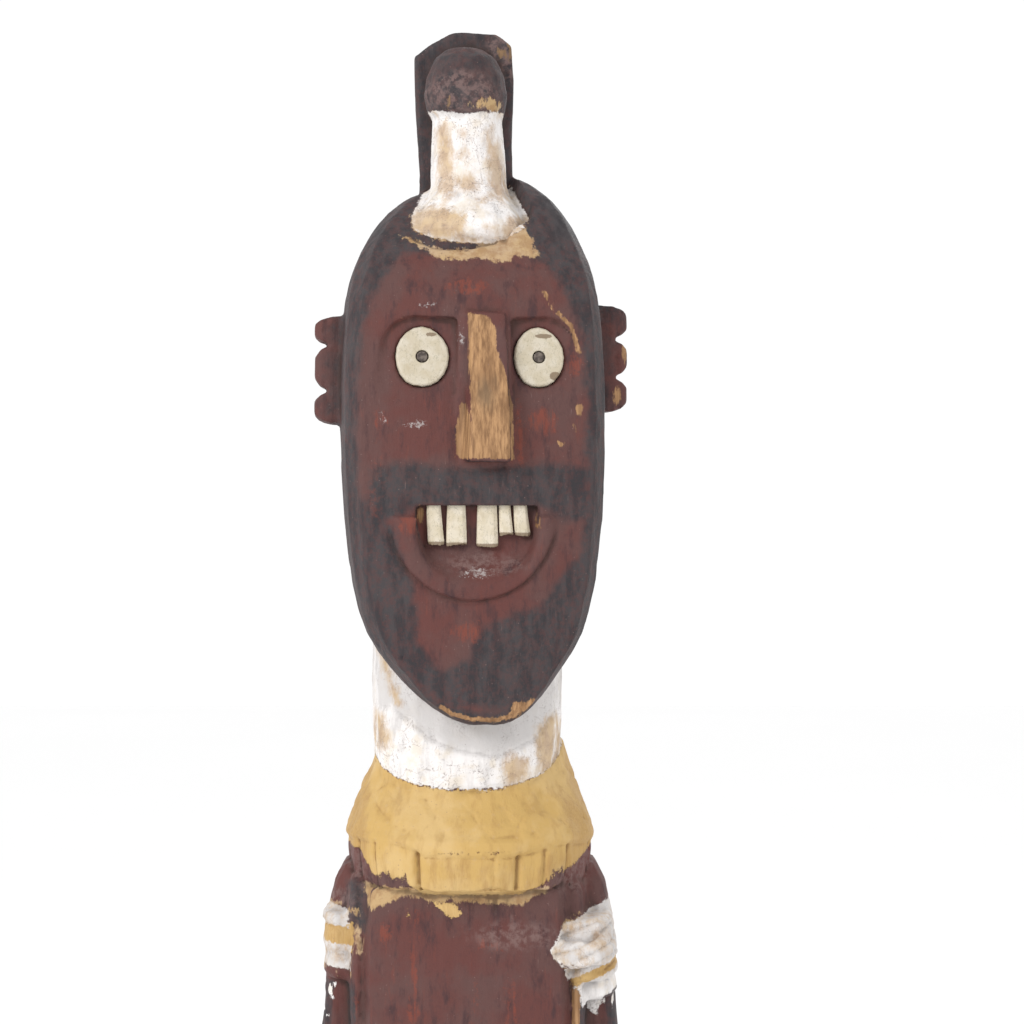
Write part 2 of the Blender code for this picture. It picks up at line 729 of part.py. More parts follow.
def tooth(i, nodes, cuts):
    new_object(f"tooth_{i + 1}", skin(tooth_rings(i, 0.0)), "shell", nodes)
    form(f"tooth_slot_{i + 1}", tooth_rings(i, INLAY_GAP), cuts, scale=Vector)


# Trunk, limbs and base


def trunk_forms(forms):
    form("neck", [oval_ring(row, count=20) for row in NECK_ROWS], forms)
    form("collar", [petal_ring(row) for row in COLLAR_ROWS[::-1]], forms)
    form("belt", [hewn_ring(row) for row in BELT_ROWS], forms)
    apron = []
    for height, half, front in APRON_ROWS:
        edge = front + APRON_KEEL
        ring = [(-half, APRON_BACK), (half, APRON_BACK), (half, edge), (0.0, front), (-half, edge)]
        apron.append([(u, depth, height) for u, depth in ring])
    form("apron", apron, forms)
    across, front, up = NAVEL
    navel = []
    for depth, radius in NAVEL_ROWS:
        round_points = [(math.cos(math.pi * k / 5.0), math.sin(math.pi * k / 5.0)) for k in range(10)]
        navel.append([(across + radius * c, front + depth, up + radius * s) for c, s in round_points])
    form("navel", navel, forms)


def armlet_forms(side, forms):
    """Bands round an upper arm, each with a bevel above and below, tilted down towards the trunk."""
    name = side_name(side)
    for i, (height, rise, half, deep, out, forward) in enumerate(ARMLETS[name]):
        place = Matrix.Translation((side * out, forward, height))
        tilt = place @ Matrix.Rotation(-side * ARMLET_TILT, 4, "Y")
        rings = []
        for share, inset in ((-1.0, ARMLET_BEVEL), (-0.55, 0.0), (0.55, 0.0), (1.0, ARMLET_BEVEL)):
            row = (share * rise, half - inset, inset - deep, deep - inset, 0.0)
            rings.append(oval_ring(row, count=12, squareness=3.0))
        form(f"armlet_{name}_{i}", rings, forms, tilt)


def arm_forms(side, forms):
    """An arm against the trunk, its armlets, and a hand with its fingers on the belly."""
    name = side_name(side)
    shift = RIGHT_ARM_SHIFT if side > 0 else 0.0
    form(f"arm_{name}", sweep_rings(ARM_PATH, side, shift), forms)
    armlet_forms(side, forms)
    root = Vector(FINGER_ROOT)
    reach = Vector(FINGER_TIP) - root
    for i in range(FINGERS):
        lift = (i - 0.5 * (FINGERS - 1)) * FINGER_PITCH
        length = 1.0 - 0.09 * abs(i - 1.3)
        rings = []
        for share, radius in ((0.0, FINGER_HALF), (0.75 * length, FINGER_HALF), (length, 0.55 * FINGER_HALF)):
            middle = root + reach * share
            ring = []
            for k in range(8):
                angle = 0.25 * math.pi * k
                depth = middle.y + radius * math.cos(angle)
                ring.append((side * (middle.x + shift), depth, middle.z + lift + radius * math.sin(angle)))
            rings.append(ring)
        form(f"finger_{name}_{i}", rings, forms)


def arch_ring(centre, half, depth, height):
    """A ring across a foot or toe, flat below and arched above."""
    corners = ((1.0, None), (1.0, 0.45), (0.6, 0.9), (0.0, 1.0), (-0.6, 0.9), (-1.0, 0.45), (-1.0, None))
    return [(centre + u * half, depth, -SOLE_SINK if rise is None else rise * height) for u, rise in corners]


def leg_forms(side, forms):
    """A bent leg, and a foot with its toes on the base."""
    name = side_name(side)
    form(f"leg_{name}", sweep_rings(LEG_PATH, side, count=14, squareness=2.5), forms)
    rings = [arch_ring(side * FOOT_CENTRE, half, depth, height) for depth, half, height in FOOT_ROWS]
    form(f"foot_{name}", rings, forms)
    toe_root, foot_half, _ = FOOT_ROWS[-1]
    width = 2.0 * foot_half / TOES
    for i in range(TOES):
        centre = side * (FOOT_CENTRE + (i - 0.5 * (TOES - 1)) * width)
        length = TOE_LENGTH * (1.0 - 0.10 * i)
        height = TOE_HEIGHT * (1.0 - 0.07 * i)
        rings = []
        for share, wide, tall in TOE_ROWS:
            rings.append(arch_ring(centre, wide * width, toe_root - share * length, tall * height))
        form(f"toe_{name}_{i}", rings, forms)


def base_form(forms):
    """A low block with cut-off corners and a chamfered top, its underside flat on the ground."""
    toe_root, foot_half, _ = FOOT_ROWS[-1]
    half = (FOOT_CENTRE + foot_half) * NOTCH + BASE_SIDE_MARGIN
    deep = (TOE_LENGTH - toe_root) * NOTCH + BASE_FRONT_MARGIN
    corner = BASE_CORNER * min(half, deep)
    rings = []
    for z, inset in ((0.0, 0.0), (BASE_HEIGHT - BASE_CHAMFER, 0.0), (BASE_HEIGHT, BASE_CHAMFER)):
        w, d = half - inset, deep - inset
        c = corner - 0.4 * inset
        ring = []
        for x_side, y_side in ((1, -1), (1, 1), (-1, 1), (-1, -1)):
            pair = [(x_side * (w - c), y_side * d, z), (x_side * w, y_side * (d - c), z)]
            ring += pair if x_side * y_side < 0 else pair[::-1]
        rings.append(ring)
    form("base", rings, forms, scale=Vector)


def carved_figure(nodes, forms, cuts):
    """The log: its trunk, joined with every other form, less the seats and sunk places."""
    rings = [[on_base(point) for point in hewn_ring(row)] for row in TRUNK_ROWS]
    log = new_object("carved_figure", skin(rings), "painted_wood", nodes)
    head_forms(forms)
    topknot_forms(forms)
    trunk_forms(forms)
    base_form(forms)
    mouth_cut(cuts)
    for side in (-1, 1):
        panel_cut(side, cuts)
        arm_forms(side, forms)
        leg_forms(side, forms)
    for name, operation, operands in (("carving", "UNION", forms), ("seats", "DIFFERENCE", cuts)):
        boolean = log.modifiers.new(name, "BOOLEAN")
        boolean.operation = operation
        boolean.solver = "EXACT"
        boolean.operand_type = "COLLECTION"
        boolean.collection = operands


def main():
    clear_scene()
    groups = []
    for name in ("pieces", "forms", "cuts"):
        group = bpy.data.collections.new(name)
        bpy.context.scene.collection.children.link(group)
        groups.append(group)
    nodes, forms, cuts = groups
    for side in (-1, 1):
        eye(side, nodes, cuts)
    for i in range(len(TOOTH_WIDTHS)):
        tooth(i, nodes, cuts)
    carved_figure(nodes, forms, cuts)


main()
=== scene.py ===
"""Looks of a carved and painted ancestor figure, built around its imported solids.

Blender's units are metres, in the frame's own axes: +Z up, the face towards -Y, +X to the right.
The carving and the paint are laid out in millimetres, with heights measured up from the ground.
"""

from __future__ import annotations

import logging
import math
from dataclasses import dataclass
from enum import Enum

import bmesh
import bpy
import numpy as np
from mathutils import Matrix, Vector

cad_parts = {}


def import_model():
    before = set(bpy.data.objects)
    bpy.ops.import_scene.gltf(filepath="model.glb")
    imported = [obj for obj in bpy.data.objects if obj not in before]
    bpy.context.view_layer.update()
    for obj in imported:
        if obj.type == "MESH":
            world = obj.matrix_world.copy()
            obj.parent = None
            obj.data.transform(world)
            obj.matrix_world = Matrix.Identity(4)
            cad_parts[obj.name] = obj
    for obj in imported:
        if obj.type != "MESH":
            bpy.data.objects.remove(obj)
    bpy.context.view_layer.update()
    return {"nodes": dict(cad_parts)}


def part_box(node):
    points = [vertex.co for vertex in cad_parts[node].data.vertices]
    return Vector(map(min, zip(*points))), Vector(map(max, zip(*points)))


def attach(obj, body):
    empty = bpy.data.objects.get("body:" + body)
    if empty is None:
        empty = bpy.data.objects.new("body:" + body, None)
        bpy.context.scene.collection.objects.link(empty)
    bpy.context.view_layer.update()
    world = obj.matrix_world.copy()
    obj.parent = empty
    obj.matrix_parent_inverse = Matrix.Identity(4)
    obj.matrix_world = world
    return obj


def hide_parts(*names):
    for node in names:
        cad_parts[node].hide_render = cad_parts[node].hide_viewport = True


LOG = logging.getLogger("ancestor_figure")
MM = 0.001

# The longest reach that is kept for a coat of paint, in millimetres
FAR = 15.0

Points = np.ndarray
Values = np.ndarray
Outline = tuple[tuple[float, float], ...]
Socket = bpy.types.NodeSocket
Fed = Socket | float | tuple[float, ...]


def shade(red: int, green: int, blue: int) -> tuple[float, float, float, float]:
    """Turns a colour as it is seen on a screen into the linear one that a shader takes."""
    shares = (red / 255, green / 255, blue / 255)
    return (*(c / 12.92 if c <= 0.04045 else ((c + 0.055) / 1.055) ** 2.4 for c in shares), 1.0)


def smooth_step(values: Values, low: float, high: float) -> Values:
    """Rises smoothly from 0 to 1 as the values go from low to high."""
    t = np.clip((values - low) / (high - low), 0.0, 1.0)
    return t * t * (3.0 - 2.0 * t)


def bell(away: Values, width: float) -> Values:
    """Falls from 1 where away is 0 to nearly nothing at twice the width."""
    return np.exp(-((away / width) ** 2))


class NoiseField:
    """Seeded noise over points in space, the same on each run."""

    def __init__(self, seed: int) -> None:
        """Keeps the seed."""
        self.seed = seed

    def _random(self, cells: np.ndarray, channel: int = 0) -> Values:
        """Gives each lattice cell a number from 0 to 1.

        Args:
            cells: Whole-number cell places, one row each.
            channel: Which of a cell's numbers to give.

        Returns:
            One number for each row.
        """
        a, b, c = cells.astype(np.int64).T.astype(np.uint64)
        mixed = a * np.uint64(374761393) + b * np.uint64(668265263) + c * np.uint64(2246822519)
        mixed = (mixed + np.uint64(self.seed * 7919 + channel * 104729)) & np.uint64(0xFFFFFFFF)
        mixed = ((mixed ^ (mixed >> np.uint64(13))) * np.uint64(1274126177)) & np.uint64(0xFFFFFFFF)
        mixed = ((mixed ^ (mixed >> np.uint64(15))) * np.uint64(2654435761)) & np.uint64(0xFFFFFFFF)
        return (mixed ^ (mixed >> np.uint64(16))).astype(np.float64) / 4294967295.0

    def waves(self, points: Points, size: float | tuple[float, float, float], octaves: int = 1) -> Values:
        """Smooth noise from -1 to 1.

        Args:
            points: Points in millimetres.
            size: Size of a wave in millimetres, the same each way or one for each axis.
            octaves: How many layers, each half the size and half the height of the last.

        Returns:
            The noise at each point.
        """
        total = np.zeros(len(points))
        reach, weight = 0.0, 1.0
        for octave in range(octaves):
            place = points / (np.asarray(size, float) / 2.0**octave) + 17.31 * octave
            corner = np.floor(place)
            t = place - corner
            t = t * t * (3.0 - 2.0 * t)
            layer = np.zeros(len(points))
            for i in (0, 1):
                for j in (0, 1):
                    for k in (0, 1):
                        share = np.abs(1 - i - t[:, 0]) * np.abs(1 - j - t[:, 1]) * np.abs(1 - k - t[:, 2])
                        layer += share * self._random(corner + (i, j, k), octave)
            total += weight * (2.0 * layer - 1.0)
            reach += weight
            weight *= 0.5
        return total / reach

    def chips(self, points: Points, size: float | tuple[float, float, float]) -> tuple[Values, Values]:
        """Splits space into uneven cells, as a blade leaves facets.

        Args:
            points: Points in millimetres.
            size: Size of a cell in millimetres, the same each way or one for each axis.

        Returns:
            How far each point is from its cell's border, from 0 to about 1, and its cell's own number.
        """
        place = points / np.asarray(size, float)
        corner = np.floor(place)
        first = np.full(len(points), 9.0)
        second = np.full(len(points), 9.0)
        number = np.zeros(len(points))
        for i in (-1, 0, 1):
            for j in (-1, 0, 1):
                for k in (-1, 0, 1):
                    cell = corner + (i, j, k)
                    seed = np.stack([self._random(cell, channel) for channel in (3, 4, 5)], axis=1)
                    gap = np.linalg.norm(cell + seed - place, axis=1)
                    nearer = gap < first
                    second = np.where(nearer, first, np.minimum(second, gap))
                    number = np.where(nearer, seed[:, 0], number)
                    first = np.where(nearer, gap, first)
        return second - first, number


def from_segment(x: Values, z: Values, start: tuple[float, float], end: tuple[float, float]) -> Values:
    """How far each point is from a straight line between two corners.

    Args:
        x: Places across, in millimetres.
        z: Places up, in millimetres.
        start: The line's first end.
        end: The line's other end.

    Returns:
        The distances.
    """
    dx, dz = end[0] - start[0], end[1] - start[1]
    t = np.clip(((x - start[0]) * dx + (z - start[1]) * dz) / (dx * dx + dz * dz), 0.0, 1.0)
    return np.hypot(x - start[0] - t * dx, z - start[1] - t * dz)


def from_line(x: Values, z: Values, line: Outline) -> Values:
    """How far each point is from an open line."""
    return np.minimum.reduce([from_segment(x, z, a, b) for a, b in zip(line, line[1:])])


def inside_outline(x: Values, z: Values, outline: Outline) -> Values:
    """How far inside a closed outline each point is.

    Args:
        x: Places across, in millimetres.
        z: Places up, in millimetres.
        outline: The outline's corners.

    Returns:
        The distance to the outline, negative outside it.
    """
    inside = np.zeros(len(x), bool)
    closed = outline + outline[:1]
    for (x0, z0), (x1, z1) in zip(closed, closed[1:]):
        if z0 != z1:
            inside ^= ((z0 > z) != (z1 > z)) & (x < x0 + (z - z0) * (x1 - x0) / (z1 - z0))
    nearest = from_line(x, z, closed)
    return np.where(inside, nearest, -nearest)


@dataclass(frozen=True)
class Oval:
    """A level oval, squarer than an ellipse, whose size may change with height.

    Attributes:
        rows: Height, middle across, middle in depth, half width and half depth, from the lowest up.
        power: How square it is; 2 is an ellipse.
    """

    rows: tuple[tuple[float, float, float, float, float], ...]
    power: float = 2.4

    def outside(self, points: Points) -> Values:
        """How far outside the oval each point is.

        Args:
            points: Points in millimetres.

        Returns:
            About the distance to the oval at the point's height, negative inside.
        """
        rows = np.asarray(self.rows)
        x0, y0, half, deep = (np.interp(points[:, 2], rows[:, 0], rows[:, c]) for c in (1, 2, 3, 4))
        across = np.abs((points[:, 0] - x0) / half) ** self.power
        along = np.abs((points[:, 1] - y0) / deep) ** self.power
        return ((across + along) ** (1.0 / self.power) - 1.0) * np.minimum(half, deep)


class Coat(Enum):
    """The coats and marks that the painted wood's material reads, each a signed reach in millimetres."""

    BLACK = "black"
    YELLOW = "yellow"
    WHITE = "white"
    TAN = "tan"
    BARE = "bare"
    EMBER = "ember"
    CHALK = "chalk"
    DUSK = "dusk"


@dataclass(frozen=True)
class Patch:
    """A painted or worn place on the front of the figure.

    Attributes:
        coat: What shows there.
        outline: Corners across and up, in millimetres.
    """

    coat: Coat
    outline: Outline

    def reach(self, x: Values, z: Values) -> Values:
        """How far inside the patch each point is."""
        return inside_outline(x, z, self.outline)


@dataclass(frozen=True)
class Dab:
    """An oval spot of paint or wear on the front of the figure.

    Attributes:
        coat: What shows there.
        x: Middle across, in millimetres.
        z: Middle up, in millimetres.
        half: Half width in millimetres.
        tall: Half height in millimetres.
    """

    coat: Coat
    x: float
    z: float
    half: float
    tall: float

    def reach(self, x: Values, z: Values) -> Values:
        """How far inside the spot each point is."""
        away = np.hypot((x - self.x) / self.half, (z - self.z) / self.tall)
        return (1.0 - away) * min(self.half, self.tall)


@dataclass(frozen=True)
class Stroke:
    """A thin line of paint, dirt or wear on the front of the figure.

    Attributes:
        coat: What shows there.
        line: Corners across and up, in millimetres.
        half: Half its width in millimetres.
    """

    coat: Coat
    line: Outline
    half: float

    def reach(self, x: Values, z: Values) -> Values:
        """How far inside the line each point is."""
        return self.half - from_line(x, z, self.line)


Marks = tuple[Patch | Dab | Stroke, ...]


def dabs(coat: Coat, *rows: tuple[float, float, float, float]) -> list[Dab]:
    """Makes a spot of one coat from each row of middle across, middle up, half width and half height."""
    return [Dab(coat, *row) for row in rows]


# The red-brown face within its black margins, and what lies on it
RED_FACE: Outline = (
    (-25.8, 782.9), (28.1, 783.7), (38, 772.5), (44.8, 758.2), (48, 742.2), (49.2, 715.1), (48.8, 683.2),
    (46, 659.3), (38.8, 639.3), (32, 621.4), (22.1, 607.4), (14.1, 598.7), (-5.8, 601), (-15.8, 607.4),
    (-26.6, 621.4), (-34.6, 639.3), (-39.3, 659.3), (-42.5, 683.2), (-43.7, 715.1), (-42.5, 745),
    (-37.7, 765),
)
FACE_MARKS: Marks = (
    Patch(Coat.BLACK, (
        (-36.9, 695.2), (-25.8, 698), (-3.8, 696), (20.1, 696.8), (38, 698.4), (50.8, 695.2), (50.8, 675.2),
        (42, 674.4), (32, 680), (-17.4, 681.2), (-23.8, 678.4), (-31.8, 673.2), (-37.7, 675.2),
    )),
    Patch(Coat.BLACK, (
        (-44.9, 683.2), (-38.5, 683.2), (-33.8, 674.4), (-27.8, 674.4), (-23.8, 658.5), (-21, 649.3),
        (-18.6, 638.5), (-19, 627), (-21.8, 621), (-31.8, 623.4), (-41.7, 643.3), (-45.7, 659.3),
    )),
    Patch(Coat.BLACK, (
        (-18.6, 627.4), (-9.8, 614.6), (2.1, 619.4), (7.3, 632.2), (22.5, 638.5), (32.4, 642.5), (38, 653.3),
        (44, 659.3), (54, 659.3), (50, 635.3), (38, 611.4), (26.1, 603), (14.1, 599), (-5.8, 601),
        (-17.8, 607.4), (-31.8, 623.4),
    )),
    Patch(Coat.TAN, (
        (-27.2, 791), (-15.8, 785), (-13.2, 781.8), (-3.9, 780.4), (6.9, 780.8), (16.9, 779.6), (20.5, 782.6),
        (28.9, 781.8), (27.9, 788.8), (24.1, 794), (10, 789.4), (4, 785.6), (-8, 784.8), (-16, 787),
    )),
    Stroke(Coat.CHALK, ((-20.6, 788.8), (-13, 785.4), (0.4, 785.6)), 1),
    Patch(Coat.BARE, (
        (1.3, 758.2), (9.5, 757), (12.6, 751), (13, 742.2), (16.5, 734), (19.4, 720), (19.6, 699.5),
        (2.5, 699.5), (2.6, 723.1), (1.6, 740),
    )),
    Patch(Coat.BARE, ((-3.8, 699.6), (-3.4, 712), (-1.6, 722), (0.6, 722), (2.6, 716), (2.6, 699.6))),
    Stroke(Coat.BARE, ((-9.4, 600.8), (-5, 597.6), (3, 595.6), (13, 595.2), (20, 596.8), (27, 602.8)), 0.9),
    *dabs(Coat.BARE, (21.8, 600.4, 3.6, 2.2), (-17.6, 677.2, 1.2, 3.2), (29.4, 674.6, 1, 2.6),
          (46, 719.6, 1.8, 2.4), (38.2, 705.6, 1.6, 1.3), (44, 712.4, 0.9, 1.4),
          (66.2, 745.6, 1, 4), (63, 727.5, 1.5, 3.8)),
    Stroke(Coat.BARE, ((32, 766.9), (34.8, 761.8), (38, 758.2), (42.8, 753), (44.8, 747), (46, 742.2)), 0.8),
    *dabs(Coat.EMBER, (0.6, 768.6, 7, 3), (31.6, 714.6, 5.6, 5), (-22.4, 673, 3.6, 3.4),
          (44.6, 737, 3, 3.6), (-33.6, 716, 2, 4), (2, 630.6, 6, 3.6),
          (-34.6, 688, 2, 9), (21.6, 709, 1.6, 8)),
    *dabs(Coat.CHALK, (-19.2, 713.6, 6.6, 2.6), (-32.6, 716, 2.4, 4.4), (-1.4, 748, 1.9, 8),
          (-13.4, 761.6, 9, 1.6), (22, 761, 3, 1.4), (6, 654, 9, 3)),
    Dab(Coat.DUSK, 6.6, 657.6, 15, 4.6),
    Dab(Coat.DUSK, 9, 724.6, 3.6, 6.6),
)
NECK_MARKS: Marks = (
    # The first patch greys the upper neck between the chin and the thick white band: painted shade under the
    # chin, with fewer flecks.
    Patch(Coat.DUSK, (
        (-45, 650), (-45, 598), (-30.7, 597.7), (-22, 592), (-15.5, 586.3), (-3.6, 581.5),
        (13.7, 578.8), (28.9, 585.3), (37, 595), (45, 600), (45, 650),
    )),
    Patch(Coat.TAN, ((29, 590), (36, 595), (42, 588), (38, 574), (31, 570), (29, 578))),
    Patch(Coat.TAN, ((14.8, 577), (20, 580), (25, 577), (26, 568), (17, 566))),
    Patch(Coat.TAN, ((-38, 597), (-33.6, 594), (-31.6, 583), (-35, 580), (-39, 584))),
    Stroke(Coat.TAN, ((-35.6, 622), (-31.6, 610), (-27.6, 600)), 1.2),
)
KNOB_MARKS: Marks = (
    Patch(Coat.TAN, ((-12.6, 838), (-8, 840), (-5.2, 828), (-4.2, 809), (-11, 809))),
    Patch(Coat.TAN, ((7.7, 836), (10, 834), (16.6, 822), (17, 808), (10, 808))),
    Dab(Coat.TAN, 0.8, 813.6, 4.6, 3.6),
    Patch(Coat.TAN, ((-25, 802), (-10, 804), (0, 799), (0, 788), (-12, 786), (-25, 790))),
    Patch(Coat.TAN, ((16.4, 799), (25.4, 800), (26, 789), (14, 786))),
    Dab(Coat.TAN, 3, 788, 6, 2.6),
    Dab(Coat.BARE, -7.4, 848, 0.8, 2.6),
    Dab(Coat.TAN, 9.4, 846.6, 5.4, 2),
    Dab(Coat.DUSK, -2, 851, 15, 9),
)
TRUNK_MARKS: Marks = (
    Patch(Coat.TAN, (
        (-42, 530), (-40.6, 521), (-38.4, 516.4), (-33.5, 518.8), (-28.7, 520.4), (-22.8, 522.4),
        (-13.4, 520.2), (-0.3, 521), (9.2, 518.8), (23.3, 519.2), (29.4, 522.2), (33.4, 524.8), (40, 530),
    )),
    Patch(Coat.YELLOW, ((-13.4, 520), (-3, 519), (-1.5, 515), (-5, 512.7), (-9, 516))),
    Stroke(Coat.YELLOW, ((-26, 516), (-23.6, 516), (-22.6, 513.6)), 0.7),
    Patch(Coat.BLACK, ((-49, 533), (-41, 533), (-40.4, 520), (-41.6, 507), (-50, 509))),
    Patch(Coat.TAN, ((-45.8, 508.6), (-42.8, 508.2), (-42.4, 498), (-44.8, 497))),
    Patch(Coat.BARE, ((43.4, 490), (47.8, 488), (46.6, 474), (46.4, 462), (43.4, 462))),
    Patch(Coat.WHITE, ((50.4, 481.5), (55.8, 480), (53.6, 471), (51, 473))),
    *dabs(Coat.EMBER, (-46.6, 476, 2, 5), (-21, 486, 1.6, 20), (8, 503, 7, 1.6),
          (-33, 507, 3, 3), (18, 470, 1.6, 14), (4, 455, 1.6, 20)),
    Dab(Coat.DUSK, 20, 506, 16, 5),
    Dab(Coat.DUSK, -50.4, 516, 5, 7.6),
)

# The head's turn to one side, the slope of the armlets, and three places in millimetres: the middle of the
# mouth across and up, the collar's middle across, and the height where the white of the topknot ends
HEAD_TURN = math.radians(6.0)
ARMLET_TILT = math.tan(math.radians(8.0))
MOUTH = (3.3, 677.0)
COLLAR_MIDDLE = 1.2
SHAFT_TOP = 843.0


class Regions:
    """Where each point of the log lies: reaches in millimetres, positive inside a part, negative outside."""

    KNOB = Oval((
        (781, -0.5, -6, 17, 18), (788, 0.5, -9.8, 20.5, 21.8), (794, 1.1, -13, 24.2, 25),
        (799.5, 1.1, -11.8, 23.2, 23.8), (809, 0.9, -7.3, 17.6, 19.3), (814, 0.9, -5.3, 16, 17.3),
        (842.5, 0.1, -4, 14.8, 16), (844.5, -0.3, -5, 16.4, 17), (851.5, -0.5, -5.8, 17.8, 17.8),
        (867.5, -0.7, -3, 13.2, 15), (873, -1.1, 0.5, 3.5, 5.5),
    ), 2.3)
    NECK = Oval(((541, 0, 0.5, 37.5, 34.8), (578, 0, 0, 38.8, 36.5), (651, 0, 4.5, 40, 34.5)))
    ARMLETS = {
        -1: Oval(((500, -49.6, -3, 10.4, 19.2), (501, -49.6, -3, 10.4, 19.2)), 3),
        1: Oval(((481, 51.8, -4, 11, 20), (491, 51.4, -8, 11.6, 24), (499, 48.8, -13.5, 14, 28),
                 (508, 49.6, -9, 12, 24)), 3),
    }
    PETALS = Oval(((526, 1.2, -0.3, 50, 47.3), (538, 1.2, -0.4, 51.4, 48.4), (547, 1.2, -0.4, 51.6, 48.4)), 2)
    RIM_FRONT, RIM_BACK = 565.0, 597.0
    COLLAR_FOOT = 523.0
    NECK_TOP = 660.0
    ARM_ROOT = 43.6

    def __init__(self, points: Points, normals: Points) -> None:
        """Measures every part once.

        Args:
            points: Points in millimetres.
            normals: The surface's outward directions at them.
        """
        self.points, self.normals = points, normals
        self.x, self.y, self.z = points.T
        cos, sin = math.cos(HEAD_TURN), math.sin(HEAD_TURN)
        self.across = self.x * cos + self.y * sin
        self.facing = normals[:, 0] * sin - normals[:, 1] * cos
        self.front = -normals[:, 1]
        self.knob = np.minimum.reduce([1.6 - self.KNOB.outside(points), self.z - 784.0, 2.0 * (0.6 - self.y)])
        self.slab = np.minimum(self.z - 813.0, -self.knob)
        backness = 0.5 * (1.0 + np.clip(self.y / 37.0, -1.0, 1.0))
        self.above_rim = self.z - (self.RIM_FRONT + (self.RIM_BACK - self.RIM_FRONT) * backness)
        neck = np.minimum(1.8 - self.NECK.outside(points), self.above_rim)
        self.neck = np.minimum(neck, self.NECK_TOP - self.z)
        self.past_petals = self.PETALS.outside(points)
        beside = np.where(self.z > 542.5, 200.0, 1.2 - self.past_petals)
        self.collar = np.minimum(np.minimum(-self.above_rim, self.z - self.COLLAR_FOOT), beside)
        self.head = np.minimum(np.minimum(self.z - 590.0, -self.neck), -self.knob)
        self.face = np.minimum(self.head, 30.0 * (self.facing - 0.62))
        self.ear = np.minimum(np.abs(self.across) - 53.4, 28.0 - np.abs(self.z - 736.0))
        self.arm = np.minimum(np.minimum(np.abs(self.x) - self.ARM_ROOT, 534.0 - self.z), self.z - 340.0)

    def armlet(self, side: int) -> tuple[Values, Values]:
        """Finds one armlet's bands."""
        reach = np.minimum(1.6 - self.ARMLETS[side].outside(self.points), 15.0 * (side * self.x > 0) - 5.0)
        return reach, self.z - (np.abs(self.x) - 49.6) * ARMLET_TILT


class Clay:
    """One piece's mesh, with the moves that a carver's tools make on its points."""

    def __init__(self, mesh: bpy.types.Mesh) -> None:
        """Reads the mesh.

        Args:
            mesh: The mesh to work on, in metres.
        """
        self.mesh = mesh
        self.points = self._read(mesh.vertices, "co", 3, np.float32).astype(np.float64) / MM
        self.edges = self._read(mesh.edges, "vertices", 2, np.int32)
        self.normals = self._read_normals()

    def _read_normals(self) -> Points:
        """Reads the outward direction at each point."""
        return self._read(self.mesh.vertex_normals, "vector", 3, np.float32).astype(np.float64)

    @staticmethod
    def _read(items: bpy.types.bpy_prop_collection, name: str, width: int, kind: type) -> np.ndarray:
        """Reads one field of many items.

        Args:
            items: The mesh's items.
            name: The field.
            width: Numbers for each item.
            kind: The numbers' type.

        Returns:
            One row for each item.
        """
        flat = np.empty(len(items) * width, kind)
        items.foreach_get(name, flat)
        return flat.reshape(-1, width)

    def mean_of_edges(self, to_first: Values, to_second: Values) -> Values:
        """Averages at each point what its edges bring.

        Args:
            to_first: What each edge brings to its first end.
            to_second: What it brings to its second end.

        Returns:
            The average at each point.
        """
        a, b = self.edges.T
        count = len(self.points)
        total = np.bincount(a, to_first, count) + np.bincount(b, to_second, count)
        degree = np.bincount(a, minlength=count) + np.bincount(b, minlength=count)
        return total / np.maximum(degree, 1)

    def mean_around(self, values: Values) -> Values:
        """Averages the values of each point's neighbours."""
        a, b = self.edges.T
        return self.mean_of_edges(values[b], values[a])

    def middles(self, points: Points) -> Points:
        """Finds the middle of each point's neighbours, for points joined like the mesh's own."""
        return np.stack([self.mean_around(points[:, c]) for c in range(3)], axis=1)

    def smooth(self, rounds: int, share: Values | float = 0.5) -> None:
        """Moves each point towards the middle of its neighbours.

        Args:
            rounds: How many times.
            share: How far of the way each time.
        """
        for _ in range(rounds):
            step = self.middles(self.points) - self.points
            self.points += step * (share[:, None] if isinstance(share, np.ndarray) else share)
        self._write()

    def push(self, depth: Values) -> None:
        """Moves each point out along its normal."""
        self.points += self.normals * depth[:, None]
        self._write()

    def shift(self, steps: Points) -> None:
        """Moves each point by a step of its own."""
        self.points += steps
        self._write()

    def _write(self) -> None:
        """Puts the points back in the mesh and reads its new normals."""
        self.mesh.vertices.foreach_set("co", (self.points * MM).astype(np.float32).ravel())
        self.mesh.update()
        self.normals = self._read_normals()

    def ridge(self) -> Values:
        """How sharply the surface bends at each point.

        Returns:
            Bend in 1/mm, positive on ridges and negative in hollows, evened out a little.
        """
        a, b = self.edges.T
        length = np.linalg.norm(self.points[a] - self.points[b], axis=1)
        step = np.maximum(self.mean_of_edges(length, length), 0.05)
        out = self.points - self.middles(self.points)
        bend = 2.0 * np.einsum("ij,ij->i", out, self.normals) / (step * step)
        for _ in range(2):
            bend = 0.5 * bend + 0.5 * self.mean_around(bend)
        return bend

    def hollow(self, rounds: int) -> Values:
        """How far each point lies below the surface evened out around it.

        Args:
            rounds: How widely the surface is evened out.

        Returns:
            Millimetres, positive in hollows and grooves.
        """
        even = self.points.copy()
        for _ in range(rounds):
            even += 0.6 * (self.middles(even) - even)
        return np.einsum("ij,ij->i", even - self.points, self.normals)

    def store(self, name: str, values: Values) -> None:
        """Keeps a number for each point as an attribute of the mesh."""
        attribute = self.mesh.attributes.new(name, "FLOAT", "POINT")
        attribute.data.foreach_set("value", values.astype(np.float32))

    def store_ridge(self) -> None:
        """Keeps how the surface bends, which the finishes read."""
        self.store("ridge", np.clip(self.ridge(), -1.5, 1.5))


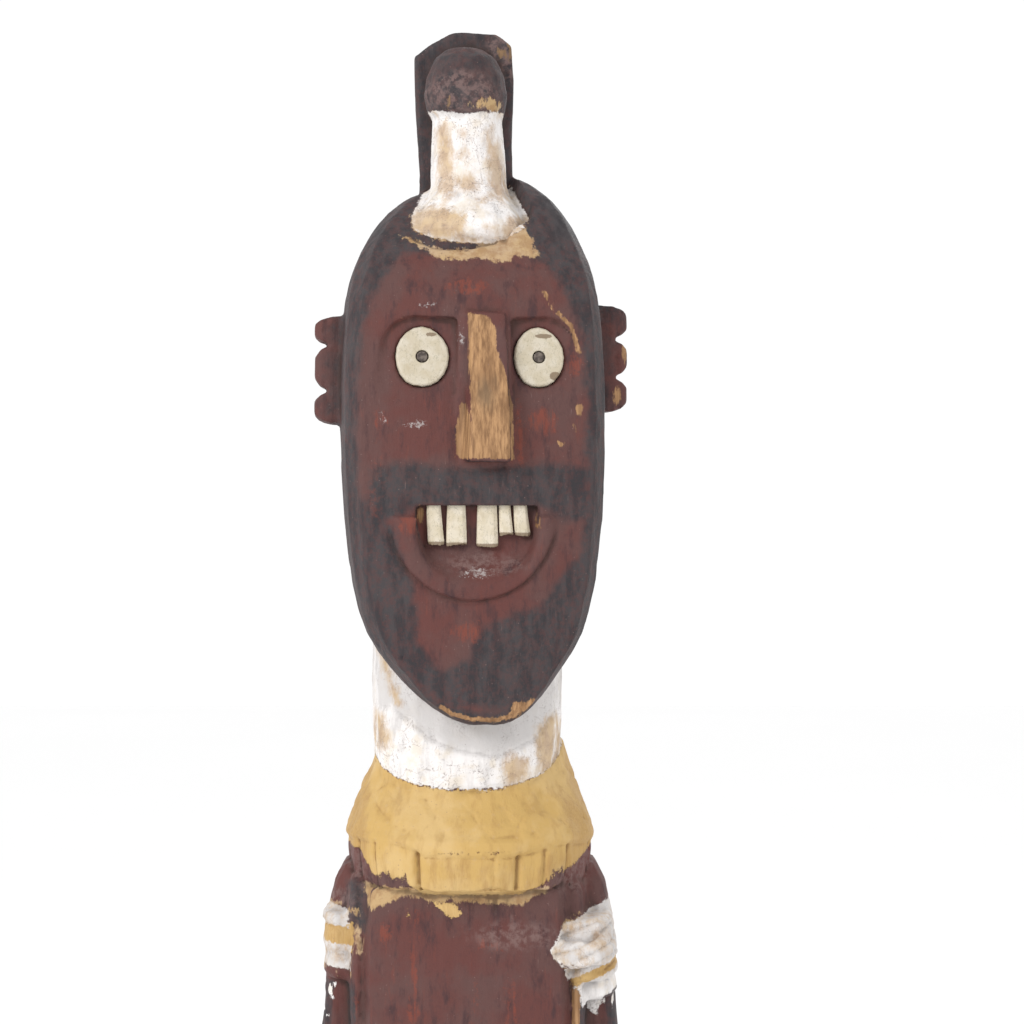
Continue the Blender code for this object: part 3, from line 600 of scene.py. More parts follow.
class Piece:
    """A visible piece that stands for one node of the frame."""

    SPARE_SHARE = 0.88

    def __init__(self, nodes: dict[str, bpy.types.Object], node: str, slot: str) -> None:
        """Notes which node it stands for.

        Args:
            nodes: The frame's node objects.
            node: The node's name.
            slot: Name of a material slot; not used.
        """
        self.source = nodes[node]
        self.node = node
        self.slot = slot
        self.obj: bpy.types.Object | None = None

    def remesh(self, voxel: float) -> Clay:
        """Makes the piece's own mesh: the node's solid, cut into even small faces.

        Args:
            voxel: Size of a face in millimetres.

        Returns:
            The new mesh, ready to be worked on.
        """
        bm = bmesh.new()
        bm.from_mesh(self.source.data)
        bmesh.ops.remove_doubles(bm, verts=bm.verts[:], dist=0.00001)
        self.add_forms(bm)
        mesh = bpy.data.meshes.new(f"{self.node}_looks")
        bm.to_mesh(mesh)
        bm.free()
        self.obj = bpy.data.objects.new(f"{self.node}_looks", mesh)
        bpy.context.scene.collection.objects.link(self.obj)
        even = self.obj.modifiers.new("even faces", "REMESH")
        even.mode = "VOXEL"
        even.voxel_size = voxel * MM
        self.apply_modifiers()
        return Clay(self.obj.data)

    def add_forms(self, bm: bmesh.types.BMesh) -> None:
        """Adds small forms that grow together with the solid: none, unless a piece has some."""

    def apply_modifiers(self) -> None:
        """Keeps the mesh that the modifiers make, and drops the modifiers."""
        graph = bpy.context.evaluated_depsgraph_get()
        made = bpy.data.meshes.new_from_object(self.obj.evaluated_get(graph))
        made.name = self.obj.data.name
        self.obj.modifiers.clear()
        self.obj.data = made

    def lighten(self, triangles: int, spare: Values | None = None) -> Clay:
        """Merges small faces until the piece has about as many triangles as asked.

        Args:
            triangles: How many to keep.
            spare: For each point, whether its faces may merge first, so that the rest keeps more.

        Returns:
            The lighter mesh.
        """
        if spare is not None:
            self.merge_faces(1.0 - self.SPARE_SHARE * float(spare.mean()), np.flatnonzero(spare))
        count = sum(len(face.vertices) - 2 for face in self.obj.data.polygons)
        if count > triangles:
            self.merge_faces(triangles / count)
        return Clay(self.obj.data)

    def merge_faces(self, share: float, members: np.ndarray | None = None) -> None:
        """Merges small faces, the flattest first.

        Args:
            share: Share of the triangles to keep.
            members: The points whose faces may merge, or all of them.
        """
        merge = self.obj.modifiers.new("fewer faces", "DECIMATE")
        merge.ratio = share
        if members is not None:
            group = self.obj.vertex_groups.new(name="spare")
            group.add(members.tolist(), 1.0, "REPLACE")
            merge.vertex_group = group.name
        self.apply_modifiers()
        self.obj.vertex_groups.clear()

    def dress(self, material: bpy.types.Material) -> None:
        """Gives the piece its finish and hangs it on the frame in its node's place.

        Args:
            material: The finish.
        """
        self.obj.data.materials.clear()
        self.obj.data.materials.append(material)
        self.obj.data.shade_smooth()
        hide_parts(self.node)
        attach(self.obj, "root")
        self.obj.data.calc_loop_triangles()
        LOG.info("%s: %d triangles", self.obj.name, len(self.obj.data.loop_triangles))


@dataclass(frozen=True)
class Hewing:
    """How the blade marks one part of the log.

    Attributes:
        size: Size of a facet in millimetres, across, in depth and up.
        depth: How deep a facet is, in millimetres.
        tilt: How far facets stand above or below each other, in millimetres.
        line: How deep the cuts between facets are, in millimetres.
    """

    size: tuple[float, float, float]
    depth: float
    tilt: float
    line: float = 0.0


@dataclass(frozen=True)
class Petal:
    """One petal of the collar's lower row.

    Attributes:
        start: Where it starts, in degrees round from the front.
        groove: Depth of the cut at its start, in millimetres.
        tilt: How much further out its far side stands, in millimetres.
        proud: How far it stands out, in millimetres.
    """

    start: float
    groove: float
    tilt: float
    proud: float


@dataclass(frozen=True)
class Furrow:
    """A groove cut or pressed in the front of the log.

    Attributes:
        line: Its points, as x and z in millimetres.
        deep: Its depth in millimetres.
        half: Half its width in millimetres.
    """

    line: Outline
    deep: float
    half: float


class Relief(Regions):
    """The marks of the carver's tools on the log, as depths in millimetres, negative where cut."""

    RUFFLE = Hewing((17.0, 17.0, 13.0), 0.25, 1.6, 0.10)
    BODY = Hewing((9.0, 9.0, 21.0), 0.22, 0.22)
    FACE = Hewing((7.0, 7.0, 11.0), 0.12, 0.16)
    LIMBS = Hewing((8.0, 8.0, 16.0), 0.28, 0.30)
    TOPKNOT = Hewing((6.0, 6.0, 9.0), 0.22, 0.20)
    FURROWS = (
        Furrow(((-18, 564), (-13.2, 556), (-9, 549), (-9.6, 545)), 0.45, 1.5),
        Furrow(((-36, 558), (-29, 551), (-22, 549), (-16, 551.6)), 0.4, 1.4),
        Furrow(((2, 562), (4, 553), (1, 546)), 0.3, 1.3),
        Furrow(((14, 559), (19, 552), (27, 548.6), (37.8, 552), (43, 555)), 0.4, 1.5),
        Furrow(((-20.6, 789.6), (-13, 786.2), (0.4, 785.8), (12, 788.4)), 1.1, 0.9),
        Furrow(((-9, 696.8), (4, 695), (23, 697.4)), 0.6, 0.8),
        Furrow(((-34.5, 626), (-34, 610), (-30.7, 600.5)), 0.6, 0.9),
        Furrow(((-28, 606), (-21, 594), (-12, 586)), 0.3, 0.8),
    )
    # Each crack's place across, its lower and upper ends, its side (1 is the back) and its depth
    CRACKS = (
        (-14, 330, 470, -1, 0.9), (22, 360, 455, -1, 0.8), (6, 130, 225, 1, 1.4),
        (12, 340, 480, 1, 1.6), (-9, 640, 770, 1, 1.5), (4, 815, 850, 1, 1),
        (-44, 4, 36, -1, 1.3), (30, 8, 38, -1, 1), (-12, 2, 30, 1, 1.4),
    )

    def __init__(self, points: Points, normals: Points) -> None:
        """Measures the log, and starts the noise that its facets and lumps come from."""
        super().__init__(points, normals)
        self.noise = NoiseField(11)

    def facets(self, how: Hewing) -> Values:
        """The marks of a blade.

        Args:
            how: Their size and depth.

        Returns:
            Depth for each point.
        """
        border, number = self.noise.chips(self.points, how.size)
        scoop = -how.depth * smooth_step(border, 0.0, 0.35) - how.line * bell(border, 0.05)
        return scoop + how.tilt * (number - 0.5) * smooth_step(border, 0.0, 0.22)

    def depth(self) -> Values:
        """Adds up every mark of the tools.

        Returns:
            Depth for each point.
        """
        on_collar = smooth_step(self.collar, -0.5, 1.0)
        on_face = smooth_step(self.face, -2.0, 4.0)
        on_topknot = smooth_step(self.z, 800.0, 808.0)
        on_limbs = np.maximum(smooth_step(self.z, 330.0, 300.0), smooth_step(self.arm, -1.0, 2.0))
        on_limbs *= 1.0 - on_collar
        on_body = np.clip(1.0 - on_collar - on_face - on_topknot - on_limbs, 0.0, 1.0)
        depth = on_collar * smooth_step(self.z, 544.0, 548.0) * self.facets(self.RUFFLE)
        for share, how in (
            (on_face, self.FACE), (on_topknot, self.TOPKNOT), (on_limbs, self.LIMBS), (on_body, self.BODY),
        ):
            depth += share * self.facets(how)
        depth += 0.35 * self.noise.waves(self.points, 34.0, 2)
        depth += 0.12 * self.noise.waves(self.points, (3.4, 3.4, 60.0), 2)
        depth += self.cracks() + self.lip_groove() + self.neck_fold()
        depth += self.furrows()
        return depth + (self.ear_pits() + self.thick_paint() + self.armlet_ridges())

    def cracks(self) -> Values:
        """Drying cracks that run along the grain.

        Returns:
            Depth for each point.
        """
        depth = np.zeros(len(self.x))
        wander = NoiseField(5).waves(self.points * (0.0, 0.0, 1.0), 13.0, 2)
        tip = 14.0
        for x, low, high, side, deep in self.CRACKS:
            away = np.abs(self.x - x - 1.6 * wander)
            along = smooth_step(self.z, low, low + tip) * smooth_step(self.z, high, high - tip)
            outside = smooth_step(side * self.normals[:, 1], 0.45, 0.75)
            depth -= deep * bell(away, 0.8) * along * outside
        return depth

    def lip_groove(self) -> Values:
        """The sharp groove under the raised lower lip.

        Returns:
            Depth for each point.
        """
        across = (self.x - MOUTH[0]) / 34.2
        down = (MOUTH[1] - self.z) / 34.8
        rim = (np.hypot(across, down) - 1.0) * 34.0
        below = smooth_step(down, 0.08, 0.3) * smooth_step(self.face, -1.0, 3.0)
        return -1.5 * bell(rim, 0.85) * below

    def neck_fold(self) -> Values:
        """The edge of the thick band of paint round the lower neck.

        Returns:
            Depth for each point.
        """
        reach = NECK_MARKS[0].reach(self.x, self.z)
        on_neck = smooth_step(self.neck, -0.5, 0.8) * smooth_step(self.front, 0.0, 0.4)
        return -on_neck * (0.6 * smooth_step(reach, -0.6, 0.6) + 0.6 * bell(reach, 0.9))

    def furrows(self) -> Values:
        """Folds of the collar and neck, and cuts in the face.

        Returns:
            Depth for each point.
        """
        depth = np.zeros(len(self.x))
        for furrow in self.FURROWS:
            away = from_line(self.x, self.z, furrow.line)
            depth -= furrow.deep * bell(away, furrow.half)
        return depth * smooth_step(self.front, 0.0, 0.3)

    def ear_pits(self) -> Values:
        """The rough, pitted surface of the ears.

        Returns:
            Depth for each point.
        """
        ear = smooth_step(np.abs(self.across), 53.6, 55.0) * smooth_step(self.z, 700.0, 712.0)
        border, number = self.noise.chips(self.points, 3.2)
        return -0.55 * ear * smooth_step(border, 0.25, 0.6) * (number > 0.45)

    def thick_paint(self) -> Values:
        """Lumps in the thick white and yellow paint of the topknot, neck and armlets.

        Returns:
            Depth for each point.
        """
        low_knob = smooth_step(self.knob, -0.5, 1.0) * smooth_step(self.z, 845.0, 840.0)
        armlets = np.maximum(*(smooth_step(self.armlet(side)[0], -0.5, 1.0) for side in (-1, 1)))
        armlets *= smooth_step(np.abs(self.z - 497.0), 24.0, 18.0)
        where = np.maximum(np.maximum(low_knob, 0.6 * smooth_step(self.neck, -0.5, 1.0)), armlets)
        return where * (0.30 * self.noise.waves(self.points + 50.0, (4.0, 4.0, 6.0), 2))

    def armlet_ridges(self) -> Values:
        """Slanted cuts across the wide band of the right armlet.

        Returns:
            Depth for each point.
        """
        reach, height = self.armlet(1)
        band = smooth_step(reach, -0.5, 0.8)
        band = band * smooth_step(height, 488.0, 491.0) * smooth_step(height, 514.0, 510.0)
        slant = height - 0.34 * (self.x - 40.0)
        return -1.1 * band * bell(np.mod(slant, 5.6) - 2.8, 0.7)


class Coats(Regions):
    """How far each coat of paint and each worn place reaches over the log, in millimetres."""

    # Places across, and where the yellow paint ends there
    PAINTED_FOOT = (
        (-52, 541), (-43.6, 540), (-38, 530.5), (-24, 528.7), (-17, 523), (22.3, 523), (30.6, 527),
        (44.9, 534), (52, 541),
    )

    def __init__(self, points: Points, normals: Points) -> None:
        """Measures the log, still without any paint."""
        super().__init__(points, normals)
        self.noise = NoiseField(23)
        self.coats = {coat: np.full(len(points), -FAR) for coat in Coat}

    def lay(self, coat: Coat, *reaches: Values) -> None:
        """Adds to a coat the place where all the reaches overlap."""
        self.coats[coat] = np.maximum(self.coats[coat], np.minimum.reduce(reaches))

    def reaches(self) -> dict[Coat, Values]:
        """Lays every coat.

        Returns:
            Each coat's reach at each point, positive where it lies.
        """
        front = 12.0 * (self.front - 0.25)
        on_face = np.minimum(inside_outline(self.x, self.z, RED_FACE), 2.0 * front)
        self.lay(Coat.BLACK, self.head, -on_face, 1.5 - 0.35 * self.ear)
        self.lay(Coat.BLACK, self.slab)
        self.lay(Coat.BLACK, self.knob, self.z - SHAFT_TOP)
        for marks, limit in (
            (FACE_MARKS, self.face + 12.0), (NECK_MARKS, self.neck + 1.0),
            (KNOB_MARKS, self.knob + 1.0), (TRUNK_MARKS, 526.0 - self.z),
        ):
            for mark in marks:
                self.lay(mark.coat, mark.reach(self.x, self.z), limit, front)
        self.lay(Coat.WHITE, self.neck - 0.9)
        foot = np.interp(self.x, *zip(*self.PAINTED_FOOT)) - 18.0 * smooth_step(self.y, 8.0, 26.0)
        self.lay(Coat.YELLOW, self.collar, 1.0 - self.head, self.z - foot)
        self.lay(Coat.DUSK, self.collar, 541.0 - self.z, 3.0 * self.noise.waves(self.points, 13.0) - 0.5)
        self.lay(Coat.DUSK, self.collar, np.abs(self.x) - 40.0 + 4.0 * self.noise.waves(self.points, 13.0))
        self._paint_topknot()
        self._paint_arms()
        self._paint_lower()
        return self.coats

    def _paint_topknot(self) -> None:
        """White over tan on shaft and ring, and the worn corner of the slab."""
        top = SHAFT_TOP + 1.5 * self.noise.waves(self.points, 7.0) - self.z
        self.lay(Coat.WHITE, self.knob, top, self.z - 785.0)
        patches = 4.0 * self.noise.waves(self.points + 9.0, (7.0, 7.0, 9.0), 2) - 1.8
        self.lay(Coat.TAN, self.knob, top, patches)
        corner = 5.4 - np.hypot(self.x - 18.0, 0.7 * (self.z - 874.0))
        self.lay(Coat.BARE, self.slab, corner, 2.4 * self.noise.waves(self.points, 4.0, 2))
        self.lay(Coat.DUSK, corner + 4.0, self.slab)

    def _paint_arms(self) -> None:
        """Armlets in bands of white and ochre, and spotted upper arms."""
        wear = 2.6 * self.noise.waves(self.points, 6.0, 2)
        left, height = self.armlet(-1)
        outer = np.abs(self.x) - 48.2
        self.lay(Coat.WHITE, left, 3.0 - np.abs(height - 511.0) + 0.5 * wear, outer - 1.0)
        self.lay(Coat.WHITE, left, 4.2 - np.abs(height - 495.2) + 0.2 * wear, outer)
        self.lay(Coat.YELLOW, left, 6.4 - np.abs(height - 503.6) + 0.3 * wear, outer + 2.0)
        self.lay(Coat.TAN, left, wear - 0.6, 14.0 - np.abs(height - 502.0))
        self.lay(Coat.DUSK, left, 16.0 - np.abs(height - 506.0))
        right, height = self.armlet(1)
        height = height - 0.3 * (self.x - 54.0)
        self.lay(Coat.WHITE, right, 11.0 - np.abs(height - 503.4) + 0.3 * wear)
        self.lay(Coat.WHITE, right, 4.4 - np.abs(height - 482.6))
        self.lay(Coat.YELLOW, right, 6.0 - np.abs(height - 490.4), self.x - 43.0)
        self.lay(Coat.TAN, right, wear - 0.6, height - 488.0, 516.0 - height)
        self.lay(Coat.DUSK, right, 16.0 - np.abs(height - 500.0))
        self.lay(Coat.BLACK, right, 3.4 - np.abs(self.x - 55.4), 4.4 - np.abs(self.z - 498.0))
        side = np.abs(self.normals[:, 0]) * 12.0 - 6.0
        self.lay(Coat.BLACK, self.arm, side, 484.0 - self.z)
        spots = 5.0 * self.noise.waves(self.points, (2.6, 2.6, 4.0), 2) - 2.8
        self.lay(Coat.WHITE, spots, np.abs(self.x) - 53.0, 6.5 - np.abs(self.z - 476.0))

    def _paint_lower(self) -> None:
        """Belt, apron, legs and base, which keep to plain bands of the same paints."""
        z = self.z
        self.lay(Coat.YELLOW, z - 296.5, 317.5 - z)
        apron = np.minimum.reduce([z - 227.0, 297.0 - z, 23.0 - np.abs(self.x), -34.0 - self.y])
        self.lay(Coat.BLACK, apron)
        self.lay(Coat.WHITE, apron, 3.2 - np.abs(z - 236.0))
        self.lay(Coat.BLACK, 150.0 - z, z - 43.0)
        self.lay(Coat.WHITE, 3.4 - np.abs(z - 104.0))
        self.lay(Coat.BARE, 41.0 - z)


class Log(Piece):
    """The carved and painted log, from the slab topknot down to its base."""

    VOXEL = 1.0
    TRIANGLES = 190000
    PLAIN_BELOW = 440.0
    PLAIN_BEHIND = 12.0
    PETALS = (
        Petal(-168, 1.2, 0.6, 0.2), Petal(-147, 1.6, -0.8, 0), Petal(-127, 0.8, 0.7, 0.3),
        Petal(-104, 1.4, -0.5, 0.1), Petal(-84, 1, 0.9, -0.2), Petal(-66, 1.6, 0.8, -0.3),
        Petal(-49.6, 1.5, -1, 0.3), Petal(-25.4, 3, 0.5, 0.2), Petal(-9.8, 0.5, -0.3, 0.2),
        Petal(12.7, 0.6, -1.1, -0.1), Petal(24.8, 1.9, 0.9, -0.3), Petal(39.3, 1.3, -0.9, 0.2),
        Petal(55, 1.5, 0.7, -0.2), Petal(76, 1.1, -0.7, 0.1), Petal(97, 1.5, 0.8, 0),
        Petal(118, 0.9, -0.6, 0.2), Petal(140, 1.6, 0.7, -0.1), Petal(160, 1.1, -0.5, 0.2),
    )
    PETAL_REACH = 48.0
    # The middle and the half sizes of each form
    WEBS = (
        ((-45.4, -9, 518), (4.6, 18, 15)), ((45.4, -9, 518), (4.6, 18, 15)),
        ((-44.6, -15, 484), (4, 15, 30)), ((45.4, -17, 476), (4, 13, 26)),
    )
    # Degrees round from the front, and the height of the fold there
    FOLD = (
        (-180, 542), (-60, 544.2), (-36, 544.6), (-27, 542), (-21, 539.8), (22, 539.6),
        (33, 541.2), (48, 543.4), (70, 542), (180, 542),
    )

    def __init__(self, nodes: dict[str, bpy.types.Object]) -> None:
        """Stands for the carved figure's node."""
        super().__init__(nodes, "carved_figure", "painted_wood")
        self.inlays = [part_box(name) for name in nodes if name.startswith(("eye_disc", "tooth"))]

    def add_forms(self, bm: bmesh.types.BMesh) -> None:
        """Adds the wood left standing between the body and the upper arms.

        Args:
            bm: The log's solid.
        """
        for middle, half in self.WEBS:
            place = Matrix.Translation(Vector(middle) * MM) @ Matrix.Diagonal((*(Vector(half) * MM), 1.0))
            bmesh.ops.create_icosphere(bm, subdivisions=3, radius=1.0, matrix=place)

    def clear_of_inlays(self, points: Points) -> Values:
        """Keeps the tools away from the seats.

        Args:
            points: Points in millimetres.

        Returns:
            0 in and round a seat, rising to 1 a little way off.
        """
        clear = np.ones(len(points))
        for low, high in self.inlays:
            beyond = np.maximum(np.array(low) / MM - points, points - np.array(high) / MM)
            away = np.linalg.norm(np.maximum(beyond, 0.0), axis=1)
            clear = np.minimum(clear, smooth_step(away, 0.6, 2.6))
        return clear

    def build(self) -> None:
        """Carves the log's surface, lays out its paint and dresses it."""
        clay = self.remesh(self.VOXEL)
        LOG.info("log before carving: %d points", len(clay.points))
        clear = self.clear_of_inlays(clay.points)
        clay.smooth(2, 0.4 * clear)
        clay.smooth(10, 0.5 * clear * self.mouth_floor(clay.points, 1.28))
        clay.smooth(36, 0.7 * clear * self.mouth_floor(clay.points, 1.0))
        self.fill_shoulder(clay)
        self.recut_petals(clay)
        self.soften_joints(clay)
        relief = Relief(clay.points, clay.normals)
        clay.push(relief.depth() * self.clear_of_inlays(clay.points) * smooth_step(relief.z, 0.5, 4.0))
        _, y, z = clay.points.T
        clay = self.lighten(self.TRIANGLES, (z < self.PLAIN_BELOW) | (y > self.PLAIN_BEHIND))
        self.paint(clay)
        self.dress(PaintedWood().build())

    @staticmethod
    def soften_joints(clay: Clay) -> None:
        """Rounds the collar's fold, and the hollows where the arms join the body.

        Args:
            clay: The log's fine mesh.
        """
        x, y, z = clay.points.T
        fold_height = 544.5
        joint_across, joint_height = 45.4, 517.0
        fold = smooth_step(np.abs(z - fold_height), 5.0, 3.5)
        joint = smooth_step(np.abs(np.abs(x) - joint_across), 8.0, 5.0)
        joint *= smooth_step(np.abs(z - joint_height), 13.0, 9.0)
        clay.smooth(2, 0.5 * fold)
        clay.smooth(16, 0.6 * joint * smooth_step(y, 0.0, -8.0))

    @staticmethod
    def fill_shoulder(clay: Clay) -> None:
        """Raises the crown of the head where it runs up to the slab's right foot.

        Args:
            clay: The log's fine mesh.
        """
        x, _, z = clay.points.T
        knob = Regions(clay.points, clay.normals).knob
        rise = (6.6 - 0.08 * (x - 19.0)) * smooth_step(x, 16.0, 20.0) * smooth_step(x, 60.0, 32.0)
        rise *= smooth_step(z, 780.0, 797.0) * smooth_step(z, 850.0, 835.0) * smooth_step(knob, 0.0, -2.0)
        clay.shift(np.stack([0.0 * rise, 0.0 * rise, rise], axis=1))

    @staticmethod
    def mouth_floor(points: Points, reach: float) -> Values:
        """Where the mouth's hollow and lip run out softly.

        Args:
            points: Points in millimetres.
            reach: How far out, as a share of the lip's inner edge.

        Returns:
            1 there, falling to 0 around it.
        """
        x, y, z = points.T
        within = reach - np.hypot((x - 3.2) / 31.0, (z - 674.0) / 31.5)
        return smooth_step(within, 0.0, 0.1) * smooth_step(z, 675.0, 671.0) * smooth_step(y, -15.0, -20.0)

    def recut_petals(self, clay: Clay) -> None:
        """Cuts the collar's even row of petals into broad and narrow ones, under an uneven fold.

        Args:
            clay: The log's fine mesh.
        """
        regions = Regions(clay.points, clay.normals)
        turn = np.degrees(np.arctan2(regions.x - COLLAR_MIDDLE, -regions.y))
        starts = np.array([petal.start for petal in self.PETALS])
        grooves, tilts, prouds = (np.array([getattr(petal, name) for petal in self.PETALS])
                                  for name in ("groove", "tilt", "proud"))
        turn = np.where(turn < starts[0], turn + 360.0, turn)
        number = np.searchsorted(starts, turn, side="right") - 1
        after = (number + 1) % len(starts)
        width = np.mod(starts[after] - starts[number], 360.0)
        share = (turn - starts[number]) / width
        to_start = np.radians(turn - starts[number]) * self.PETAL_REACH
        to_end = np.radians(width) * self.PETAL_REACH - to_start
        cut = np.where(to_start < to_end, grooves[number], grooves[after])
        cut = cut * bell(np.minimum(to_start, to_end), 1.2)
        flat = 0.55 * (1.0 - (2.0 * share - 1.0) ** 2) * width / 20.0
        relief = prouds[number] + 1.4 * tilts[number] * (share - 0.5) - flat - cut
        noise = NoiseField(77)
        foot = 525.4 + 2.0 * noise.waves(np.stack([turn * 0.8, turn * 0.0, turn * 0.0], axis=1), 11.0, 2)
        relief -= 1.8 * smooth_step(regions.z, foot + 0.8, foot - 0.2)
        fold = np.interp(np.where(turn > 180.0, turn - 360.0, turn), *zip(*self.FOLD))
        over = smooth_step(regions.z, fold - 1.0, fold + 1.4)
        relief = relief * (1.0 - over) + 0.6 * over - 0.3 * bell(regions.z - fold + 0.8, 0.8)
        past = regions.past_petals
        weight = smooth_step(past, -3.6, -2.8) * smooth_step(past, 1.8, 1.0)
        weight *= smooth_step(regions.z, 524.2, 525.0) * smooth_step(regions.z, 547.6, 545.6)
        outward = np.stack([regions.x - COLLAR_MIDDLE, regions.y, 0.0 * regions.y], axis=1)
        outward /= np.linalg.norm(outward, axis=1, keepdims=True)
        clay.shift(outward * ((relief - past) * weight)[:, None])

    @staticmethod
    def paint(clay: Clay) -> None:
        """Keeps each coat of paint and each worn place as an attribute.

        Args:
            clay: The log's final mesh.
        """
        coats = Coats(clay.points, clay.normals)
        for coat, reach in coats.reaches().items():
            clay.store(coat.value, np.clip(reach, -FAR, FAR))
        clay.store_ridge()
        # How deep each point lies in a hollow; the finish darkens hollows with painted shade and grime, more
        # softly round the mouth.
        from_mouth = np.hypot(coats.x - MOUTH[0], coats.z - MOUTH[1])
        calm = 1.0 - 0.7 * smooth_step(from_mouth, 44.0, 36.0) * smooth_step(coats.face, -4.0, 0.0)
        clay.store("hollow", np.clip(clay.hollow(14), -1.0, 2.0) * calm)


class Disc(Piece):
    """A disc of shell or bone, let into the panel beside the nose."""

    VOXEL = 0.26
    TRIANGLES = 22000
    STAINS = {
        "left": (Dab(Coat.BARE, -20.2, 728.4, 3, 1), Dab(Coat.BARE, -13.6, 749.6, 2.6, 0.8)),
        "right": (
            Dab(Coat.BARE, 36.3, 733, 2.6, 2), Dab(Coat.BARE, 31.6, 749.2, 4, 1),
            Dab(Coat.BARE, 21.4, 731.6, 1.2, 2.4),
        ),
    }

    def __init__(self, nodes: dict[str, bpy.types.Object], side: str) -> None:
        """Stands for one disc's node."""
        super().__init__(nodes, f"eye_disc_{side}", "shell")
        self.side = side

    def build(self, material: bpy.types.Material) -> None:
        """Rounds the disc's edge, wears it a little and dresses it.

        Args:
            material: The shell's finish.
        """
        clay = self.remesh(self.VOXEL)
        noise = NoiseField(31 + len(self.side))
        clay.smooth(3, 0.5)
        clay.push(0.07 * noise.waves(clay.points, 3.4, 3) - 0.02)
        clay = self.lighten(self.TRIANGLES)
        x, _, z = clay.points.T
        stains = [dab.reach(x, z) / min(dab.half, dab.tall) for dab in self.STAINS[self.side]]
        clay.store("broken", np.clip(2.5 * np.maximum.reduce(stains), 0.0, 1.0))
        clay.store_ridge()
        self.dress(material)


class Peg(Piece):
    """The dull peg through a disc's middle."""

    VOXEL = 0.16
    TRIANGLES = 9000

    def build(self, material: bpy.types.Material) -> None:
        """Roughens the peg's end grain and dresses it.

        Args:
            material: The peg's finish.
        """
        clay = self.remesh(self.VOXEL)
        clay.smooth(2, 0.5)
        clay.push(0.04 * NoiseField(41).waves(clay.points, 0.9, 2) - 0.02)
        self.lighten(self.TRIANGLES)
        self.dress(material)


class Tooth(Piece):
    """A slip of shell or bone that stands in the mouth, broken off at its lower end."""

    VOXEL = 0.24
    TRIANGLES = 14000

    def __init__(self, nodes: dict[str, bpy.types.Object], number: int) -> None:
        """Stands for one tooth's node."""
        super().__init__(nodes, f"tooth_{number}", "shell")
        self.number = number

    def build(self, material: bpy.types.Material) -> None:
        """Rounds the slip's edges, breaks its lower end and dresses it.

        Args:
            material: The shell's finish.
        """
        clay = self.remesh(self.VOXEL)
        noise = NoiseField(50 + self.number)
        clay.smooth(3, 0.5)
        x, y, z = clay.points.T
        low = z.min()
        broken = smooth_step(z, low + 2.2, low)
        crumble = 0.5 * noise.waves(clay.points, (1.1, 1.6, 1.4), 3) + 0.18
        clay.push(0.05 * noise.waves(clay.points, 3.0, 2) - crumble * broken * 0.8)
        clay = self.lighten(self.TRIANGLES)
        z = clay.points[:, 2]
        clay.store("broken", smooth_step(z, low + 2.4, low + 0.4))
        clay.store_ridge()
        self.dress(material)


